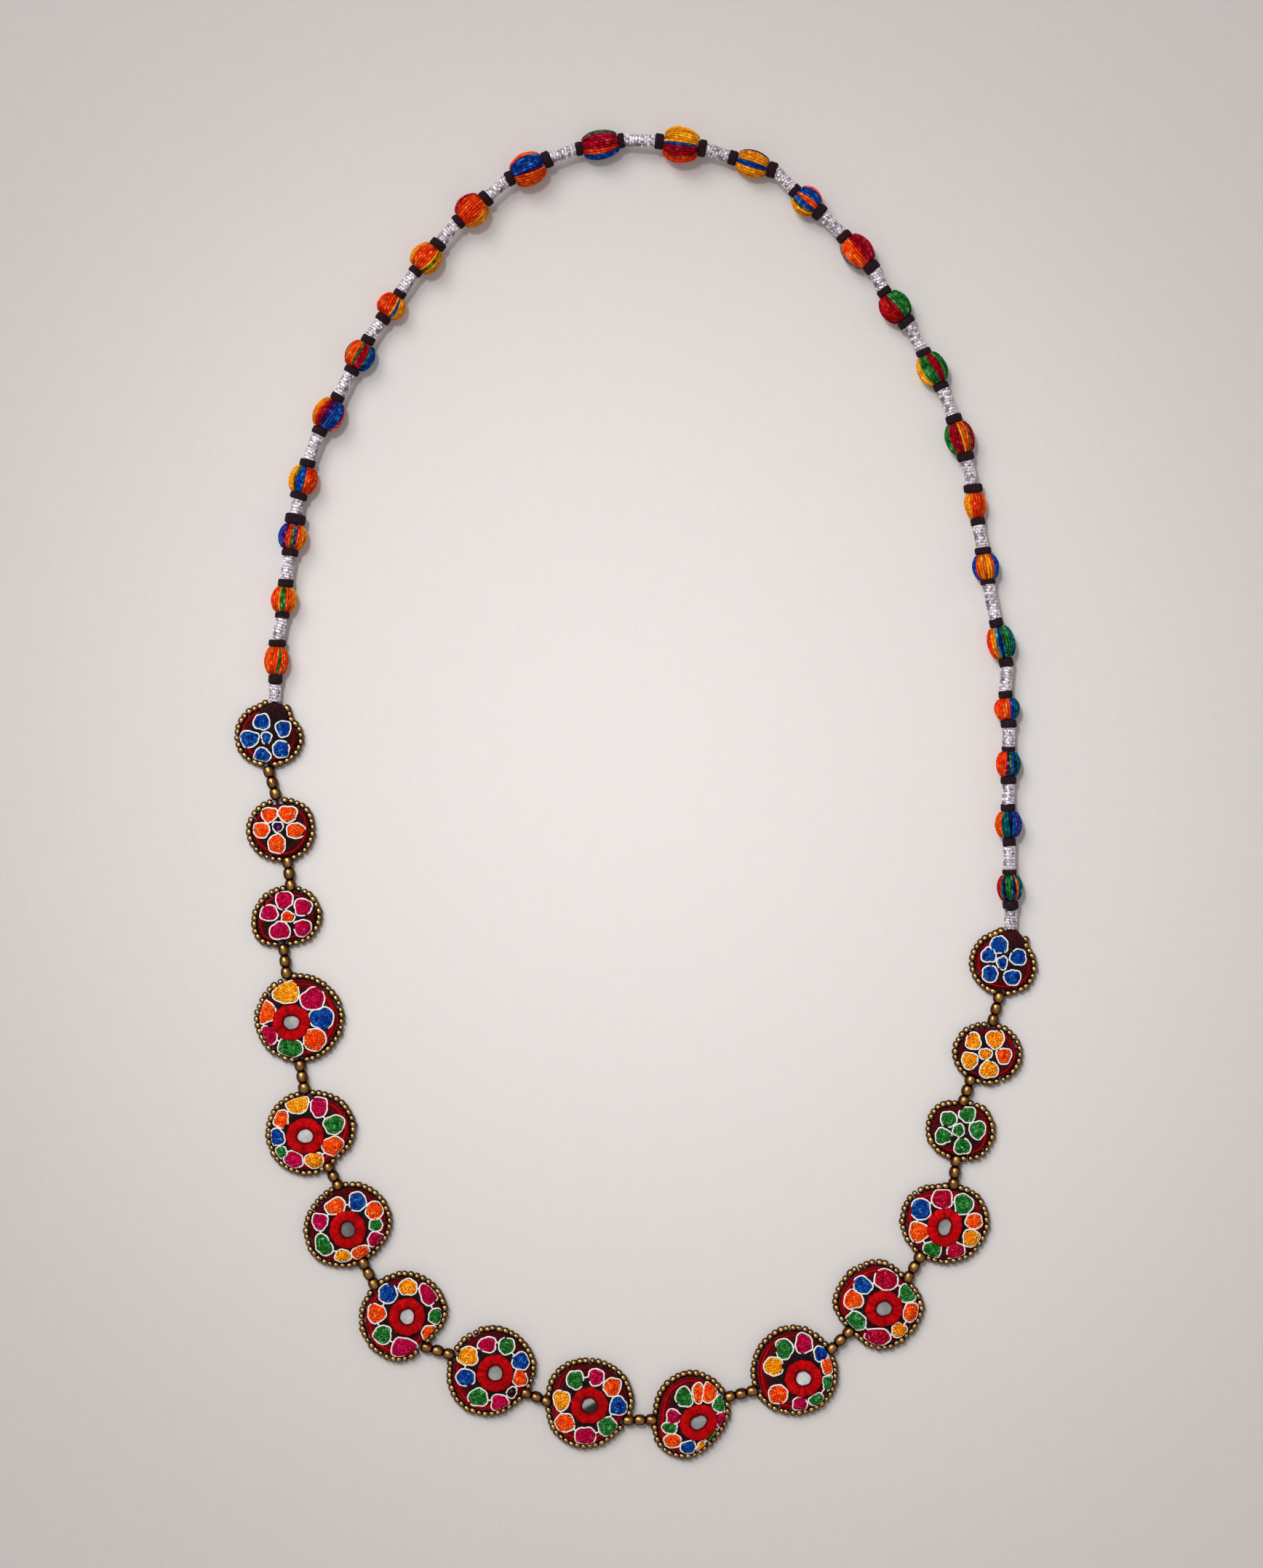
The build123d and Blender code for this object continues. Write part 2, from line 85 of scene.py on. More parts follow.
# Petals of each disc: offset from the disc's middle, size across and up the petal, the dye of its
# thread and, where it is turned, its turn in degrees counterclockwise. The last one of a small
# disc is its centre.
Petal = namedtuple("Petal", "x y wide tall dye turn", defaults=[0])
petals = {
    1: [
        Petal(-2.2, 4.2, 5.3, 5.0, "blue"), Petal(4.9, 2.0, 4.6, 5.2, "blue", 10),
        Petal(-6.3, -1.4, 6.2, 5.2, "blue"), Petal(-2.1, -6.7, 5.2, 4.2, "blue", -12),
        Petal(4.1, -4.8, 5.2, 5.5, "blue"), Petal(-0.8, -1.0, 2.8, 3.6, "blue"),
    ],
    2: [
        Petal(-3.6, 5.2, 5.0, 4.6, "orange", 15), Petal(2.4, 5.4, 6.0, 5.2, "orange", -5),
        Petal(-6.2, 0.1, 5.2, 4.8, "orange"), Petal(5.1, -0.1, 6.0, 4.8, "orange"),
        Petal(-1.1, -4.4, 5.5, 6.2, "orange"), Petal(-0.9, 1.2, 3.0, 3.0, "plum"),
    ],
    3: [
        Petal(-0.6, 5.0, 5.5, 6.2, "magenta"), Petal(5.6, 2.6, 5.5, 5.5, "magenta"),
        Petal(-5.5, 0.6, 5.8, 5.0, "magenta"), Petal(-1.9, -5.2, 6.8, 5.6, "magenta", 10),
        Petal(5.5, -4.4, 5.6, 5.5, "magenta"), Petal(0.5, -0.6, 4.0, 3.2, "flame"),
    ],
    4: [
        Petal(-4.4, 8.8, 8.0, 6.8, "yellow"), Petal(4.5, 6.4, 7.2, 6.4, "magenta", 20),
        Petal(7.5, 0.0, 7.2, 6.2, "blue"), Petal(5.1, -7.1, 6.5, 6.5, "orange"),
        Petal(-3.2, -10.1, 7.4, 6.0, "green"), Petal(-10.6, -5.9, 5.6, 5.6, "magenta"),
        Petal(-11.7, 2.1, 6.5, 6.9, "orange"),
    ],
    5: [
        Petal(-4.6, 10.0, 7.0, 6.0, "yellow"), Petal(2.8, 8.8, 4.8, 6.2, "magenta"),
        Petal(7.8, 2.9, 6.2, 5.5, "green", 20), Petal(7.5, -4.4, 6.6, 5.8, "orange", -10),
        Petal(1.2, -9.1, 5.6, 4.6, "amber"), Petal(-5.9, -9.0, 5.8, 5.2, "pink"),
        Petal(-10.1, -6.5, 3.4, 3.4, "green"), Petal(-11.5, -1.4, 4.8, 5.0, "blue"),
        Petal(-10.2, 4.8, 4.8, 5.2, "orange"),
    ],
    6: [
        Petal(-4.5, 6.2, 6.8, 5.2, "orange", 20), Petal(2.8, 7.8, 5.4, 6.2, "blue"),
        Petal(8.5, 4.8, 5.4, 6.0, "orange", -20), Petal(9.0, 0.1, 4.0, 4.0, "green"),
        Petal(9.2, -5.0, 6.0, 4.8, "magenta", -10), Petal(4.0, -9.4, 6.0, 4.6, "orange", 10),
        Petal(-2.1, -10.4, 5.2, 3.8, "yellow"), Petal(-8.6, -6.8, 4.8, 7.8, "green", 28),
        Petal(-9.8, 1.1, 5.0, 5.5, "magenta"),
    ],
    7: [
        Petal(1.5, 10.0, 6.0, 5.0, "amber"), Petal(8.6, 7.8, 6.0, 7.4, "magenta", 15),
        Petal(10.8, 0.2, 4.2, 5.0, "green"), Petal(9.0, -5.6, 5.5, 5.4, "orange"),
        Petal(0.2, -10.4, 9.0, 6.8, "pink"), Petal(-7.0, -5.9, 5.6, 6.2, "green", -20),
        Petal(-9.0, 1.2, 6.0, 6.0, "orange"), Petal(-5.2, 7.8, 6.0, 6.2, "blue"),
    ],
    8: [
        Petal(-1.5, 9.1, 5.8, 4.8, "magenta"), Petal(4.9, 8.6, 5.0, 5.2, "green"),
        Petal(9.6, 3.5, 5.5, 5.5, "blue"), Petal(9.5, -2.2, 4.4, 5.4, "orange"),
        Petal(2.6, -10.6, 5.6, 6.0, "pink"), Petal(-4.6, -8.6, 6.4, 5.8, "green"),
        Petal(-8.8, -1.9, 6.2, 5.4, "blue"), Petal(-8.0, 5.2, 6.6, 6.0, "yellow"),
        Petal(6.7, -7.0, 2.6, 3.6, "umber", -30),
    ],
    9: [
        Petal(-4.9, 8.2, 5.4, 6.0, "green"), Petal(2.1, 9.1, 5.0, 5.4, "magenta"),
        Petal(7.5, 5.8, 5.5, 6.0, "orange", -20), Petal(9.5, -0.6, 5.5, 6.2, "blue"),
        Petal(5.8, -7.4, 6.0, 6.4, "green", 20), Petal(-1.5, -10.7, 7.0, 6.0, "magenta"),
        Petal(-8.4, -6.2, 6.4, 6.0, "orange"), Petal(-9.5, 1.4, 5.2, 6.6, "yellow"),
    ],
    10: [
        Petal(-2.2, 6.0, 5.2, 6.6, "green", 20), Petal(2.5, 7.6, 3.2, 7.0, "orange"),
        Petal(6.4, 7.6, 4.4, 7.4, "orange", -12), Petal(10.1, 3.9, 4.6, 6.0, "green", -20),
        Petal(11.0, -1.5, 5.6, 5.4, "magenta", 20), Petal(7.4, -6.9, 3.4, 5.2, "green", -50),
        Petal(3.8, -11.0, 2.8, 4.0, "amber"), Petal(-0.8, -10.8, 5.0, 4.0, "blue", 20),
        Petal(-6.1, -8.6, 5.5, 4.4, "orange"), Petal(-7.0, -4.2, 4.8, 3.6, "green"),
        Petal(-5.8, -0.5, 4.6, 4.8, "magenta"),
    ],
    11: [
        Petal(-3.5, 7.2, 5.4, 6.8, "green"), Petal(3.1, 9.0, 5.5, 6.6, "magenta"),
        Petal(8.9, 5.6, 4.6, 4.6, "blue"), Petal(11.4, 1.6, 4.4, 5.6, "orange"),
        Petal(11.6, -4.2, 4.0, 4.8, "green"), Petal(7.5, -10.0, 4.8, 4.0, "green", 20),
        Petal(1.8, -11.4, 4.6, 4.8, "magenta"), Petal(-5.5, -8.0, 6.2, 6.2, "orange"),
        Petal(-7.0, 1.4, 6.2, 6.0, "yellow"),
    ],
    12: [
        Petal(2.5, 8.9, 8.0, 6.8, "ruby", -10), Petal(-5.4, 7.0, 6.2, 5.4, "blue", -30),
        Petal(-8.5, 2.2, 6.2, 6.0, "orange"), Petal(-7.6, -5.0, 6.8, 5.8, "green", -30),
        Petal(-0.5, -10.4, 9.0, 5.8, "ruby"), Petal(6.9, -8.1, 4.8, 4.8, "amber"),
        Petal(10.8, -2.0, 4.8, 6.4, "orange", -20), Petal(9.6, 4.2, 5.8, 6.0, "green"),
    ],
    13: [
        Petal(-8.4, 5.1, 6.2, 6.6, "blue"), Petal(-1.2, 8.6, 6.4, 6.2, "ruby"),
        Petal(5.9, 6.8, 5.8, 6.4, "green"), Petal(9.4, 1.2, 5.2, 4.6, "orange"),
        Petal(8.5, -4.5, 5.2, 5.4, "amber"), Petal(3.2, -8.8, 5.5, 5.8, "ruby"),
        Petal(-4.5, -8.4, 5.6, 5.2, "green"), Petal(-9.1, -2.4, 6.0, 6.2, "orange"),
    ],
    14: [
        Petal(-4.1, 4.0, 5.2, 4.8, "green"), Petal(2.1, 5.5, 5.2, 4.8, "green"),
        Petal(5.4, 0.5, 5.2, 5.8, "green"), Petal(0.4, -4.9, 5.2, 5.4, "green"),
        Petal(-5.9, -1.6, 5.2, 5.0, "green"), Petal(-1.0, 0.4, 3.4, 3.8, "green"),
    ],
    15: [
        Petal(-5.0, 3.9, 4.6, 5.4, "amber"), Petal(2.2, 4.6, 5.8, 5.8, "amber"),
        Petal(5.1, -0.9, 4.8, 5.0, "orange"), Petal(0.1, -5.4, 6.0, 5.4, "yellow"),
        Petal(-6.2, -2.4, 5.0, 5.4, "yellow"), Petal(-1.2, -0.2, 4.0, 3.2, "amber"),
    ],
    16: [
        Petal(-1.8, 6.0, 5.6, 5.6, "blue"), Petal(4.5, 1.9, 5.2, 5.0, "blue"),
        Petal(2.6, -4.8, 5.5, 4.8, "blue"), Petal(-4.8, -3.6, 4.8, 5.4, "blue"),
        Petal(-5.2, 2.6, 4.6, 4.6, "blue"), Petal(-0.9, 0.1, 3.0, 4.0, "blue"),
    ],
}

# How large the petals are sewn, as a share of their sizes above, and on some discs.
usual_growth = 0.93
petal_growth = {4: 1.06, 5: 1.02, 13: 0.98}

# Yarn of each bead in string order. A dye runs up to its edge: -1 is the side of the bead that
# faces out of the loop, 1 the side that faces in, and the last dye runs to the end.
Winding = namedtuple("Winding", "edges dyes")
windings = [
    Winding((-0.6, -0.3, 0.2, 0.5), "orange flame orange green orange"),
    Winding((-0.45, -0.25, 0.25, 0.75), "flame amber green orange amber"),
    Winding(
        (-0.8, -0.4, -0.1, 0.1, 0.3, 0.5, 0.8),
        "blue purple flame green purple green orange amber",
    ),
    Winding((-0.6, -0.42, 0.3), "yellow olive blue flame"),
    Winding((-0.75, -0.5, -0.3, -0.1, 0.08, 0.9), "amber orange red crimson purple blue flame"),
    Winding((-0.92, -0.15, 0.05, 0.52, 0.65), "plum orange green crimson teal blue"),
    Winding((0.2, 0.38, 0.55), "flame yellow blue amber"),
    Winding((-0.75, 0.4, 0.52, 0.68), "amber flame yellow olive yellow"),
    Winding((-0.85, 0.6), "crimson flame amber"),
    Winding((-0.72, 0.15, 0.3, 0.45), "orange blue purple magenta orange"),
    Winding((-0.85, -0.65, 0.35, 0.7), "olive teal crimson flame blue"),
    Winding((0.0, 0.25, 0.72), "yellow blue crimson flame"),
    Winding((-0.85, 0.05, 0.4), "navy amber blue amber"),
    Winding((-0.85, -0.25, 0.25, 0.6, 0.8), "flame blue orange blue olive amber"),
    Winding((-0.05, 0.1, 0.9), "crimson flame orange slate"),
    Winding((0.1, 0.4, 0.8), "green crimson red crimson"),
    Winding((-0.65, -0.05, 0.7), "green crimson green yellow"),
    Winding((-0.7, -0.5, -0.2, 0.0, 0.7), "crimson olive orange yellow crimson green"),
    Winding((-0.7, -0.1, 0.1, 0.5), "orange flame orange flame amber"),
    Winding(
        (-0.6, -0.4, -0.1, 0.1, 0.35, 0.6, 0.8),
        "blue flame amber yellow orange amber flame blue",
    ),
    Winding((-0.6, -0.2, -0.05, 0.3, 0.5, 0.75), "teal green teal navy cyan amber flame"),
    Winding((-0.6, -0.3, 0.3), "teal blue orange flame"),
    Winding((-0.75, -0.45, -0.2, 0.1, 0.3), "teal navy blue green purple flame"),
    Winding((-0.8, -0.55, -0.2, 0.05, 0.55), "blue purple blue navy teal orange"),
    Winding((-0.7, -0.45, -0.15, 0.1, 0.35, 0.6, 0.8), "teal orange navy teal green navy teal red"),
]

# Width and length of the two collars of each bead, at its start and at its end.
Collars = namedtuple("Collars", "width length end_width end_length")
collar_pairs = [
    Collars(5.0, 3.2, 6.0, 2.5), Collars(4.9, 2.3, 5.3, 3.0), Collars(5.8, 2.5, 7.2, 3.6),
    Collars(6.0, 2.3, 5.5, 2.8), Collars(5.3, 2.8, 5.0, 2.8), Collars(5.5, 2.5, 4.8, 3.0),
    Collars(5.3, 2.8, 4.4, 2.8), Collars(4.8, 2.5, 5.8, 3.0), Collars(5.5, 2.3, 6.0, 2.8),
    Collars(5.3, 2.8, 5.8, 3.2), Collars(5.0, 2.5, 5.3, 2.3), Collars(5.5, 3.2, 6.0, 2.8),
    Collars(5.0, 3.2, 5.5, 3.4), Collars(4.8, 2.5, 6.0, 3.0), Collars(5.5, 2.8, 5.8, 3.4),
    Collars(5.0, 2.8, 6.2, 2.8), Collars(5.3, 2.3, 5.3, 2.8), Collars(5.8, 3.0, 6.0, 2.8),
    Collars(6.7, 3.0, 5.0, 2.8), Collars(5.8, 2.5, 5.3, 1.8), Collars(4.8, 3.2, 5.0, 3.4),
    Collars(5.0, 2.8, 5.5, 3.0), Collars(4.6, 2.0, 5.5, 2.8), Collars(5.0, 2.8, 4.6, 3.4),
    Collars(5.0, 2.0, 5.5, 3.0),
]

# Where the red rings in each disc glow brightest, in degrees from the right, and how narrowly.
Glow = namedtuple("Glow", "bearing focus")
glows = {
    1: Glow(180, 0.25),
    2: Glow(250, 0.12),
    3: Glow(170, 0.3),
    4: Glow(0, 1.6),
    5: Glow(-10, 1.2),
    6: Glow(-40, 1.5),
    7: Glow(220, 0.9),
    8: Glow(250, 1.0),
    9: Glow(-120, 0.8),
    10: Glow(170, 1.1),
    11: Glow(200, 1.0),
    12: Glow(130, 1.0),
    13: Glow(120, 1.2),
    14: Glow(-50, 0.8),
    15: Glow(-10, 0.9),
    16: Glow(200, 0.3),
}

# The dark red threads laid round inside a disc's edge: how far in each lies, its width, both in
# mm, and how bright its brightest stretch is.
GroundThread = namedtuple("GroundThread", "inset width brightness")
large_disc_threads = [
    GroundThread(0.55, 0.50, 0.60),
    GroundThread(1.45, 0.95, 1.00),
    GroundThread(2.55, 0.45, 0.45),
]
small_disc_threads = [
    GroundThread(0.40, 0.35, 0.05),
    GroundThread(1.05, 0.80, 0.60),
    GroundThread(1.95, 0.30, 0.00),
]

# Each large disc's mirror: its grey as a display value, which is a painted reflection, how much
# darker that painted reflection turns towards a side, that side in degrees from the right, how
# much longer than wide its opening is, and the degrees that the opening's long way is turned.
MirrorShapeAndReflection = namedtuple("MirrorShapeAndReflection", "tone fade side stretch turn")
mirror_shapes_and_reflections = {
    4: MirrorShapeAndReflection(0.67, 0.10, -150, 1.15, 0),
    5: MirrorShapeAndReflection(0.82, 0.08, -60, 1.15, 0),
    6: MirrorShapeAndReflection(0.42, 0.06, 20, 1.10, 100),
    7: MirrorShapeAndReflection(0.80, 0.06, 160, 1.10, 80),
    8: MirrorShapeAndReflection(0.64, 0.05, 90, 1.05, 90),
    9: MirrorShapeAndReflection(0.42, 0.60, -60, 1.05, 0),
    10: MirrorShapeAndReflection(0.62, 0.08, -90, 1.30, 30),
    11: MirrorShapeAndReflection(0.88, 0.05, 0, 1.05, 0),
    12: MirrorShapeAndReflection(0.61, 0.06, 0, 1.12, 15),
    13: MirrorShapeAndReflection(0.61, 0.06, 120, 1.30, 75),
}

# Discs whose ground is darker than the others'.
dark_discs = (1, 2, 3)

# In millimetres: the mirrors' radius, and the height of the seed beads' middles.
mirror_radius = 4.6
seed_height = 1.75

# In millimetres, on the two discs whose cloth has a neck for a sleeve: how far out the threads and
# the seed beads run in its direction, and how far from its middle the beads stop.
thread_limit = 10.2
bead_limit = 11.0
neck_clearance = 4.7

# How wide the wound sleeves and the cast brass beads are, as shares of the CAD's radii.
sleeve_girth = 1.08
barrel_girth = 1.04


def linear(colour):
    """Scene-linear value of a display colour: a power of 2.4 with a short straight toe."""
    shown = np.asarray(colour, dtype=float)
    return np.where(shown <= 0.04045, shown / 12.92, ((shown + 0.055) / 1.055) ** 2.4)


def blend(first, second, share):
    """Linear colour between two display colours: a share of the second, the rest the first."""
    return linear(first) * (1 - share) + linear(second) * share


def unit(vectors):
    """Vectors divided by their lengths, along the last axis."""
    return vectors / np.linalg.norm(vectors, axis=-1, keepdims=True)


def smooth_step(values, low, high):
    """Cubic ease from 0 at low to 1 at high."""
    share = np.clip((values - low) / (high - low), 0, 1)
    return share * share * (3 - 2 * share)


def full_turn(count):
    """Angles spaced evenly round a full turn."""
    return np.arange(count) / count * TURN


def around(x, y, radius, angles):
    """Places at a radius and some angles round a point, seen from above."""
    return np.stack([x + radius * np.cos(angles), y + radius * np.sin(angles)], axis=-1)


def distance(points, x, y):
    """Distance of points from a place, seen from above."""
    return np.hypot(points[..., 0] - x, points[..., 1] - y)


def wave(rng, height, times, angles):
    """Sine that runs some times round a turn, from a random start."""
    return height * np.sin(times * angles + rng.uniform(0, TURN))


def side_and_up(travel):
    """Unit vectors to the right of a travel direction, looking down on it, and up from both."""
    right = unit(np.cross(travel, UP))
    return right, np.cross(right, travel)


# Reading the frame.


def node_points(node):
    """Corners of a CAD node's mesh in millimetres, and its triangles, with doubles merged."""
    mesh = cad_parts[node].data
    raw = np.empty(len(mesh.vertices) * 3)
    mesh.vertices.foreach_get("co", raw)
    mesh.calc_loop_triangles()
    corners = np.empty(len(mesh.loop_triangles) * 3, dtype=np.int64)
    mesh.loop_triangles.foreach_get("vertices", corners)
    rounded = np.round(raw.reshape(-1, 3) / MM, 3)
    points, merged = np.unique(rounded, axis=0, return_inverse=True)
    return points, merged.reshape(-1)[corners].reshape(-1, 3)


def loose_solids(node):
    """Points of each separate solid of a CAD node: the lowest label spreads over the triangles."""
    points, triangles = node_points(node)
    labels = np.arange(len(points))
    settled = False
    while not settled:
        lowest = labels[triangles].min(axis=1)
        spread = labels.copy()
        np.minimum.at(spread, triangles.ravel(), np.repeat(lowest, 3))
        spread = spread[spread]
        settled = bool((spread == labels).all())
        labels = spread
    order = np.argsort(labels, kind="stable")
    starts = np.flatnonzero(np.diff(labels[order])) + 1
    return [points[group] for group in np.split(order, starts)]


def middle(points):
    """Middle of the box round some points."""
    return (points.min(axis=0) + points.max(axis=0)) / 2


def from_axis(points, centre, axis):
    """How far along an axis through a centre each point lies, and how far from the axis."""
    offsets = points - centre
    lengths = offsets @ axis
    return lengths, np.linalg.norm(offsets - lengths[:, None] * axis, axis=1)


# Making meshes.


def skin(rings, tips=None, closed_path=False):
    """Closed skins of many alike shapes.

    rings has the shape (copies, rows, columns, 3) and its columns close round. Neighbouring rows
    are joined by quads. Each end is closed by a fan to its tip, the mean of the end ring if no
    tips are given, unless the rows close round as well. Returns the points and the faces.
    """
    copies, rows, columns, _ = rings.shape
    index = np.arange(copies * rows * columns).reshape(copies, rows, columns)
    right = np.roll(index, -1, axis=2)
    if closed_path:
        above = np.roll(index, -1, axis=1)
        above_right = np.roll(right, -1, axis=1)
        quads = np.stack([index, right, above_right, above], axis=-1)
        return rings.reshape(-1, 3), quads.reshape(-1, 4).tolist()
    quads = np.stack([index[:, :-1], right[:, :-1], right[:, 1:], index[:, 1:]], axis=-1)
    if tips is None:
        tips = rings[:, [0, -1]].mean(axis=2)
    tip_index = index.size + np.arange(copies * 2).reshape(copies, 2)
    first_tip = np.broadcast_to(tip_index[:, :1], (copies, columns))
    last_tip = np.broadcast_to(tip_index[:, 1:], (copies, columns))
    first = np.stack([right[:, 0], index[:, 0], first_tip], axis=-1)
    last = np.stack([index[:, -1], right[:, -1], last_tip], axis=-1)
    points = np.concatenate([rings.reshape(-1, 3), tips.reshape(-1, 3)])
    faces = quads.reshape(-1, 4).tolist()
    faces += first.reshape(-1, 3).tolist() + last.reshape(-1, 3).tolist()
    return points, faces


def spread_values(values, tip_values=None):
    """Values on a skin's rings laid out as its points are, each tip with its end ring's mean."""
    copies, rows, columns = values.shape[:3]
    flat = values.reshape(copies * rows * columns, -1)
    if tip_values is None:
        tip_values = values[:, [0, -1]].mean(axis=2)
    return np.concatenate([flat, tip_values.reshape(copies * 2, -1)])


def thread_lay(rings, along, across, seed=0):
    """Thread coordinates of a skin's rings, each part of them spread over all the points."""
    lay = np.zeros(rings.shape)
    lay[..., 0] = along
    lay[..., 1] = across
    lay[..., 2] = seed
    return lay


def joined(shapes):
    """One set of points and faces from several."""
    points = np.concatenate([shape[0] for shape in shapes])
    faces = []
    offset = 0
    for shape_points, shape_faces in shapes:
        faces += [[corner + offset for corner in face] for face in shape_faces]
        offset += len(shape_points)
    return points, faces


def gather(results):
    """One shape from several, and in the same order whatever values come with them."""
    shapes, *columns = zip(*results)
    return joined(shapes), *[np.concatenate(column) for column in columns]


def make_piece(name, material, slot, nodes, shape, dye=None, lay=None):
    """Mesh object of points and faces in millimetres that rides on the necklace.

    dye is a linear colour and lay a thread coordinate (along, across, seed) for each point.
    """
    points, faces = shape
    mesh = bpy.data.meshes.new(name)
    mesh.from_pydata((np.asarray(points) * MM).tolist(), [], faces)
    mesh.polygons.foreach_set("use_smooth", np.ones(len(mesh.polygons), dtype=bool))
    if dye is not None:
        colours = np.ones((len(points), 4))
        colours[:, :3] = dye
        layer = mesh.color_attributes.new("dye", "FLOAT_COLOR", "POINT")
        layer.data.foreach_set("color", colours.ravel())
    if lay is not None:
        layer = mesh.attributes.new("lay", "FLOAT_VECTOR", "POINT")
        layer.data.foreach_set("vector", np.asarray(lay, dtype=float).ravel())
    mesh.materials.append(material)
    mesh.update()
    mesh.validate()
    piece = bpy.data.objects.new(name, mesh)
    bpy.context.scene.collection.objects.link(piece)
    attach(piece, "root")
    if nodes:
        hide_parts(*nodes)
    return piece


# Materials.


def new_material(name):
    """New material, its node tree and its shader."""
    material = bpy.data.materials.new(name)
    material.use_nodes = True
    return material, material.node_tree, material.node_tree.nodes["Principled BSDF"]


def settle(node, **inputs):
    """Set a node's sockets by name, with spaces written as underscores."""
    for key, value in inputs.items():
        node.inputs[key.replace("_", " ")].default_value = value


def add_node(tree, kind, vector=None, **inputs):
    """Shader node of a kind with its sockets set, and its vector read from a socket."""
    node = tree.nodes.new(kind)
    settle(node, **inputs)
    if vector is not None:
        tree.links.new(vector, node.inputs["Vector"])
    return node


def opaque(colour):
    """Colour with full alpha, for a socket."""
    return (*[float(part) for part in colour], 1.0)


def grey(value):
    """A grey as a linear colour."""
    return (value, value, value)


def add_ramp(tree, source, stops):
    """Colour ramp with (place, linear colour) stops that reads a source socket."""
    ramp = tree.nodes.new("ShaderNodeValToRGB")
    elements = ramp.color_ramp.elements
    while len(elements) < len(stops):
        elements.new(0.5)
    for element, (place, colour) in zip(elements, stops):
        element.position = place
        element.color = opaque(colour)
    tree.links.new(source, ramp.inputs["Fac"])
    return ramp.outputs["Color"]


def add_mix(tree, factor, first, second, kind="MIX"):
    """Colour mix of two sockets or linear colours by a socket or a number."""
    node = tree.nodes.new("ShaderNodeMix")
    node.data_type = "RGBA"
    node.blend_type = kind
    for socket, value in ((0, factor), (6, first), (7, second)):
        if isinstance(value, bpy.types.NodeSocket):
            tree.links.new(value, node.inputs[socket])
        elif socket == 0:
            node.inputs[socket].default_value = value
        else:
            node.inputs[socket].default_value = opaque(value)
    return node.outputs[2]


def multiplied(tree, first, second):
    """Product of two colours."""
    return add_mix(tree, 1.0, first, second, "MULTIPLY")


def add_noise(tree, vector, scale, detail=3.0):
    """Noise factor at a scale in patterns per unit of the vector."""
    kind = "ShaderNodeTexNoise"
    return add_node(tree, kind, vector, Scale=scale, Detail=detail, Roughness=0.55).outputs["Fac"]


def add_patches(tree, vector, scale, detail, low, high):
    """Greys in random patches, between two (place in the noise, value) ends."""
    stops = [(place, grey(value)) for place, value in (low, high)]
    return add_ramp(tree, add_noise(tree, vector, scale, detail), stops)


def add_bump(tree, shader, height, strength, depth):
    """Bump from a height socket on the shader's normal."""
    node = add_node(tree, "ShaderNodeBump", Strength=strength, Distance=depth)
    tree.links.new(height, node.inputs["Height"])
    tree.links.new(node.outputs["Normal"], shader.inputs["Normal"])


def object_coordinates(tree):
    """Object coordinates, in metres."""
    return tree.nodes.new("ShaderNodeTexCoord").outputs["Object"]


def attribute(tree, name, output):
    """Output of a mesh attribute."""
    node = tree.nodes.new("ShaderNodeAttribute")
    node.attribute_name = name
    return node.outputs[output]


def thread_material(name, roughness, sheen, ply, depth=1.0):
    """Dyed thread: its dye varies along the lay, and its plies twist across it.

    The plies are bands of a wave that runs slantwise over the lay, ply of them a millimetre. A
    wave texture of scale 0.6283 repeats once a unit. The depth is how strongly the dye varies.
    """
    material, tree, shader = new_material(name)
    lay = attribute(tree, "lay", "Vector")
    dye = attribute(tree, "dye", "Color")
    faded, soaked = (0.3, 1 - 0.38 * depth), (0.7, 1 + 0.28 * depth)
    patches = add_patches(tree, lay, 1.1, 4.0, faded, soaked)
    dull, lit = (0.3, 1 - 0.28 * depth), (0.75, 1 + 0.22 * depth)
    fibres = add_patches(tree, object_coordinates(tree), 5200.0, 2.0, dull, lit)
    colour = multiplied(tree, multiplied(tree, dye, patches), fibres)
    tree.links.new(colour, shader.inputs["Base Color"])
    once_a_unit = 0.6283
    bands = ply * once_a_unit
    twist = add_node(tree, "ShaderNodeTexWave", lay, Scale=bands, Distortion=1.2, Detail=2.0)
    twist.bands_direction = "DIAGONAL"
    add_bump(tree, shader, twist.outputs["Fac"], 0.55, 0.00012)
    settle(shader, Roughness=roughness, Sheen_Weight=sheen, Sheen_Roughness=0.4)
    settle(shader, Specular_IOR_Level=0.05)
    return material


def cloth_material(name, ground, accent, specks):
    """Dark woven cloth of one ground colour, or of the mesh's own dye where there is none.

    The weave is crossed waves, with faded patches and pale stray fibres on the ground.
    """
    material, tree, shader = new_material(name)
    colour = attribute(tree, "dye", "Color") if ground is None else linear(ground)
    place = object_coordinates(tree)
    faded = add_patches(tree, place, 320.0, 3.0, (0.45, 0), (0.68, 0.7))
    colour = add_mix(tree, faded, colour, linear(accent))
    stray = add_patches(tree, place, 2600.0, 1.0, (0.7, 0), (0.78, 1))
    colour = add_mix(tree, stray, colour, linear(specks))
    tree.links.new(colour, shader.inputs["Base Color"])
    warp = add_node(tree, "ShaderNodeTexWave", place, Scale=420.0, Distortion=0.8)
    weft = add_node(tree, "ShaderNodeTexWave", place, Scale=420.0, Distortion=0.8)
    weft.bands_direction = "Y"
    weave = multiplied(tree, warp.outputs["Color"], weft.outputs["Color"])
    add_bump(tree, shader, weave, 0.6, 0.00015)
    settle(shader, Roughness=0.92, Sheen_Weight=0.02, Specular_IOR_Level=0.06)
    return material


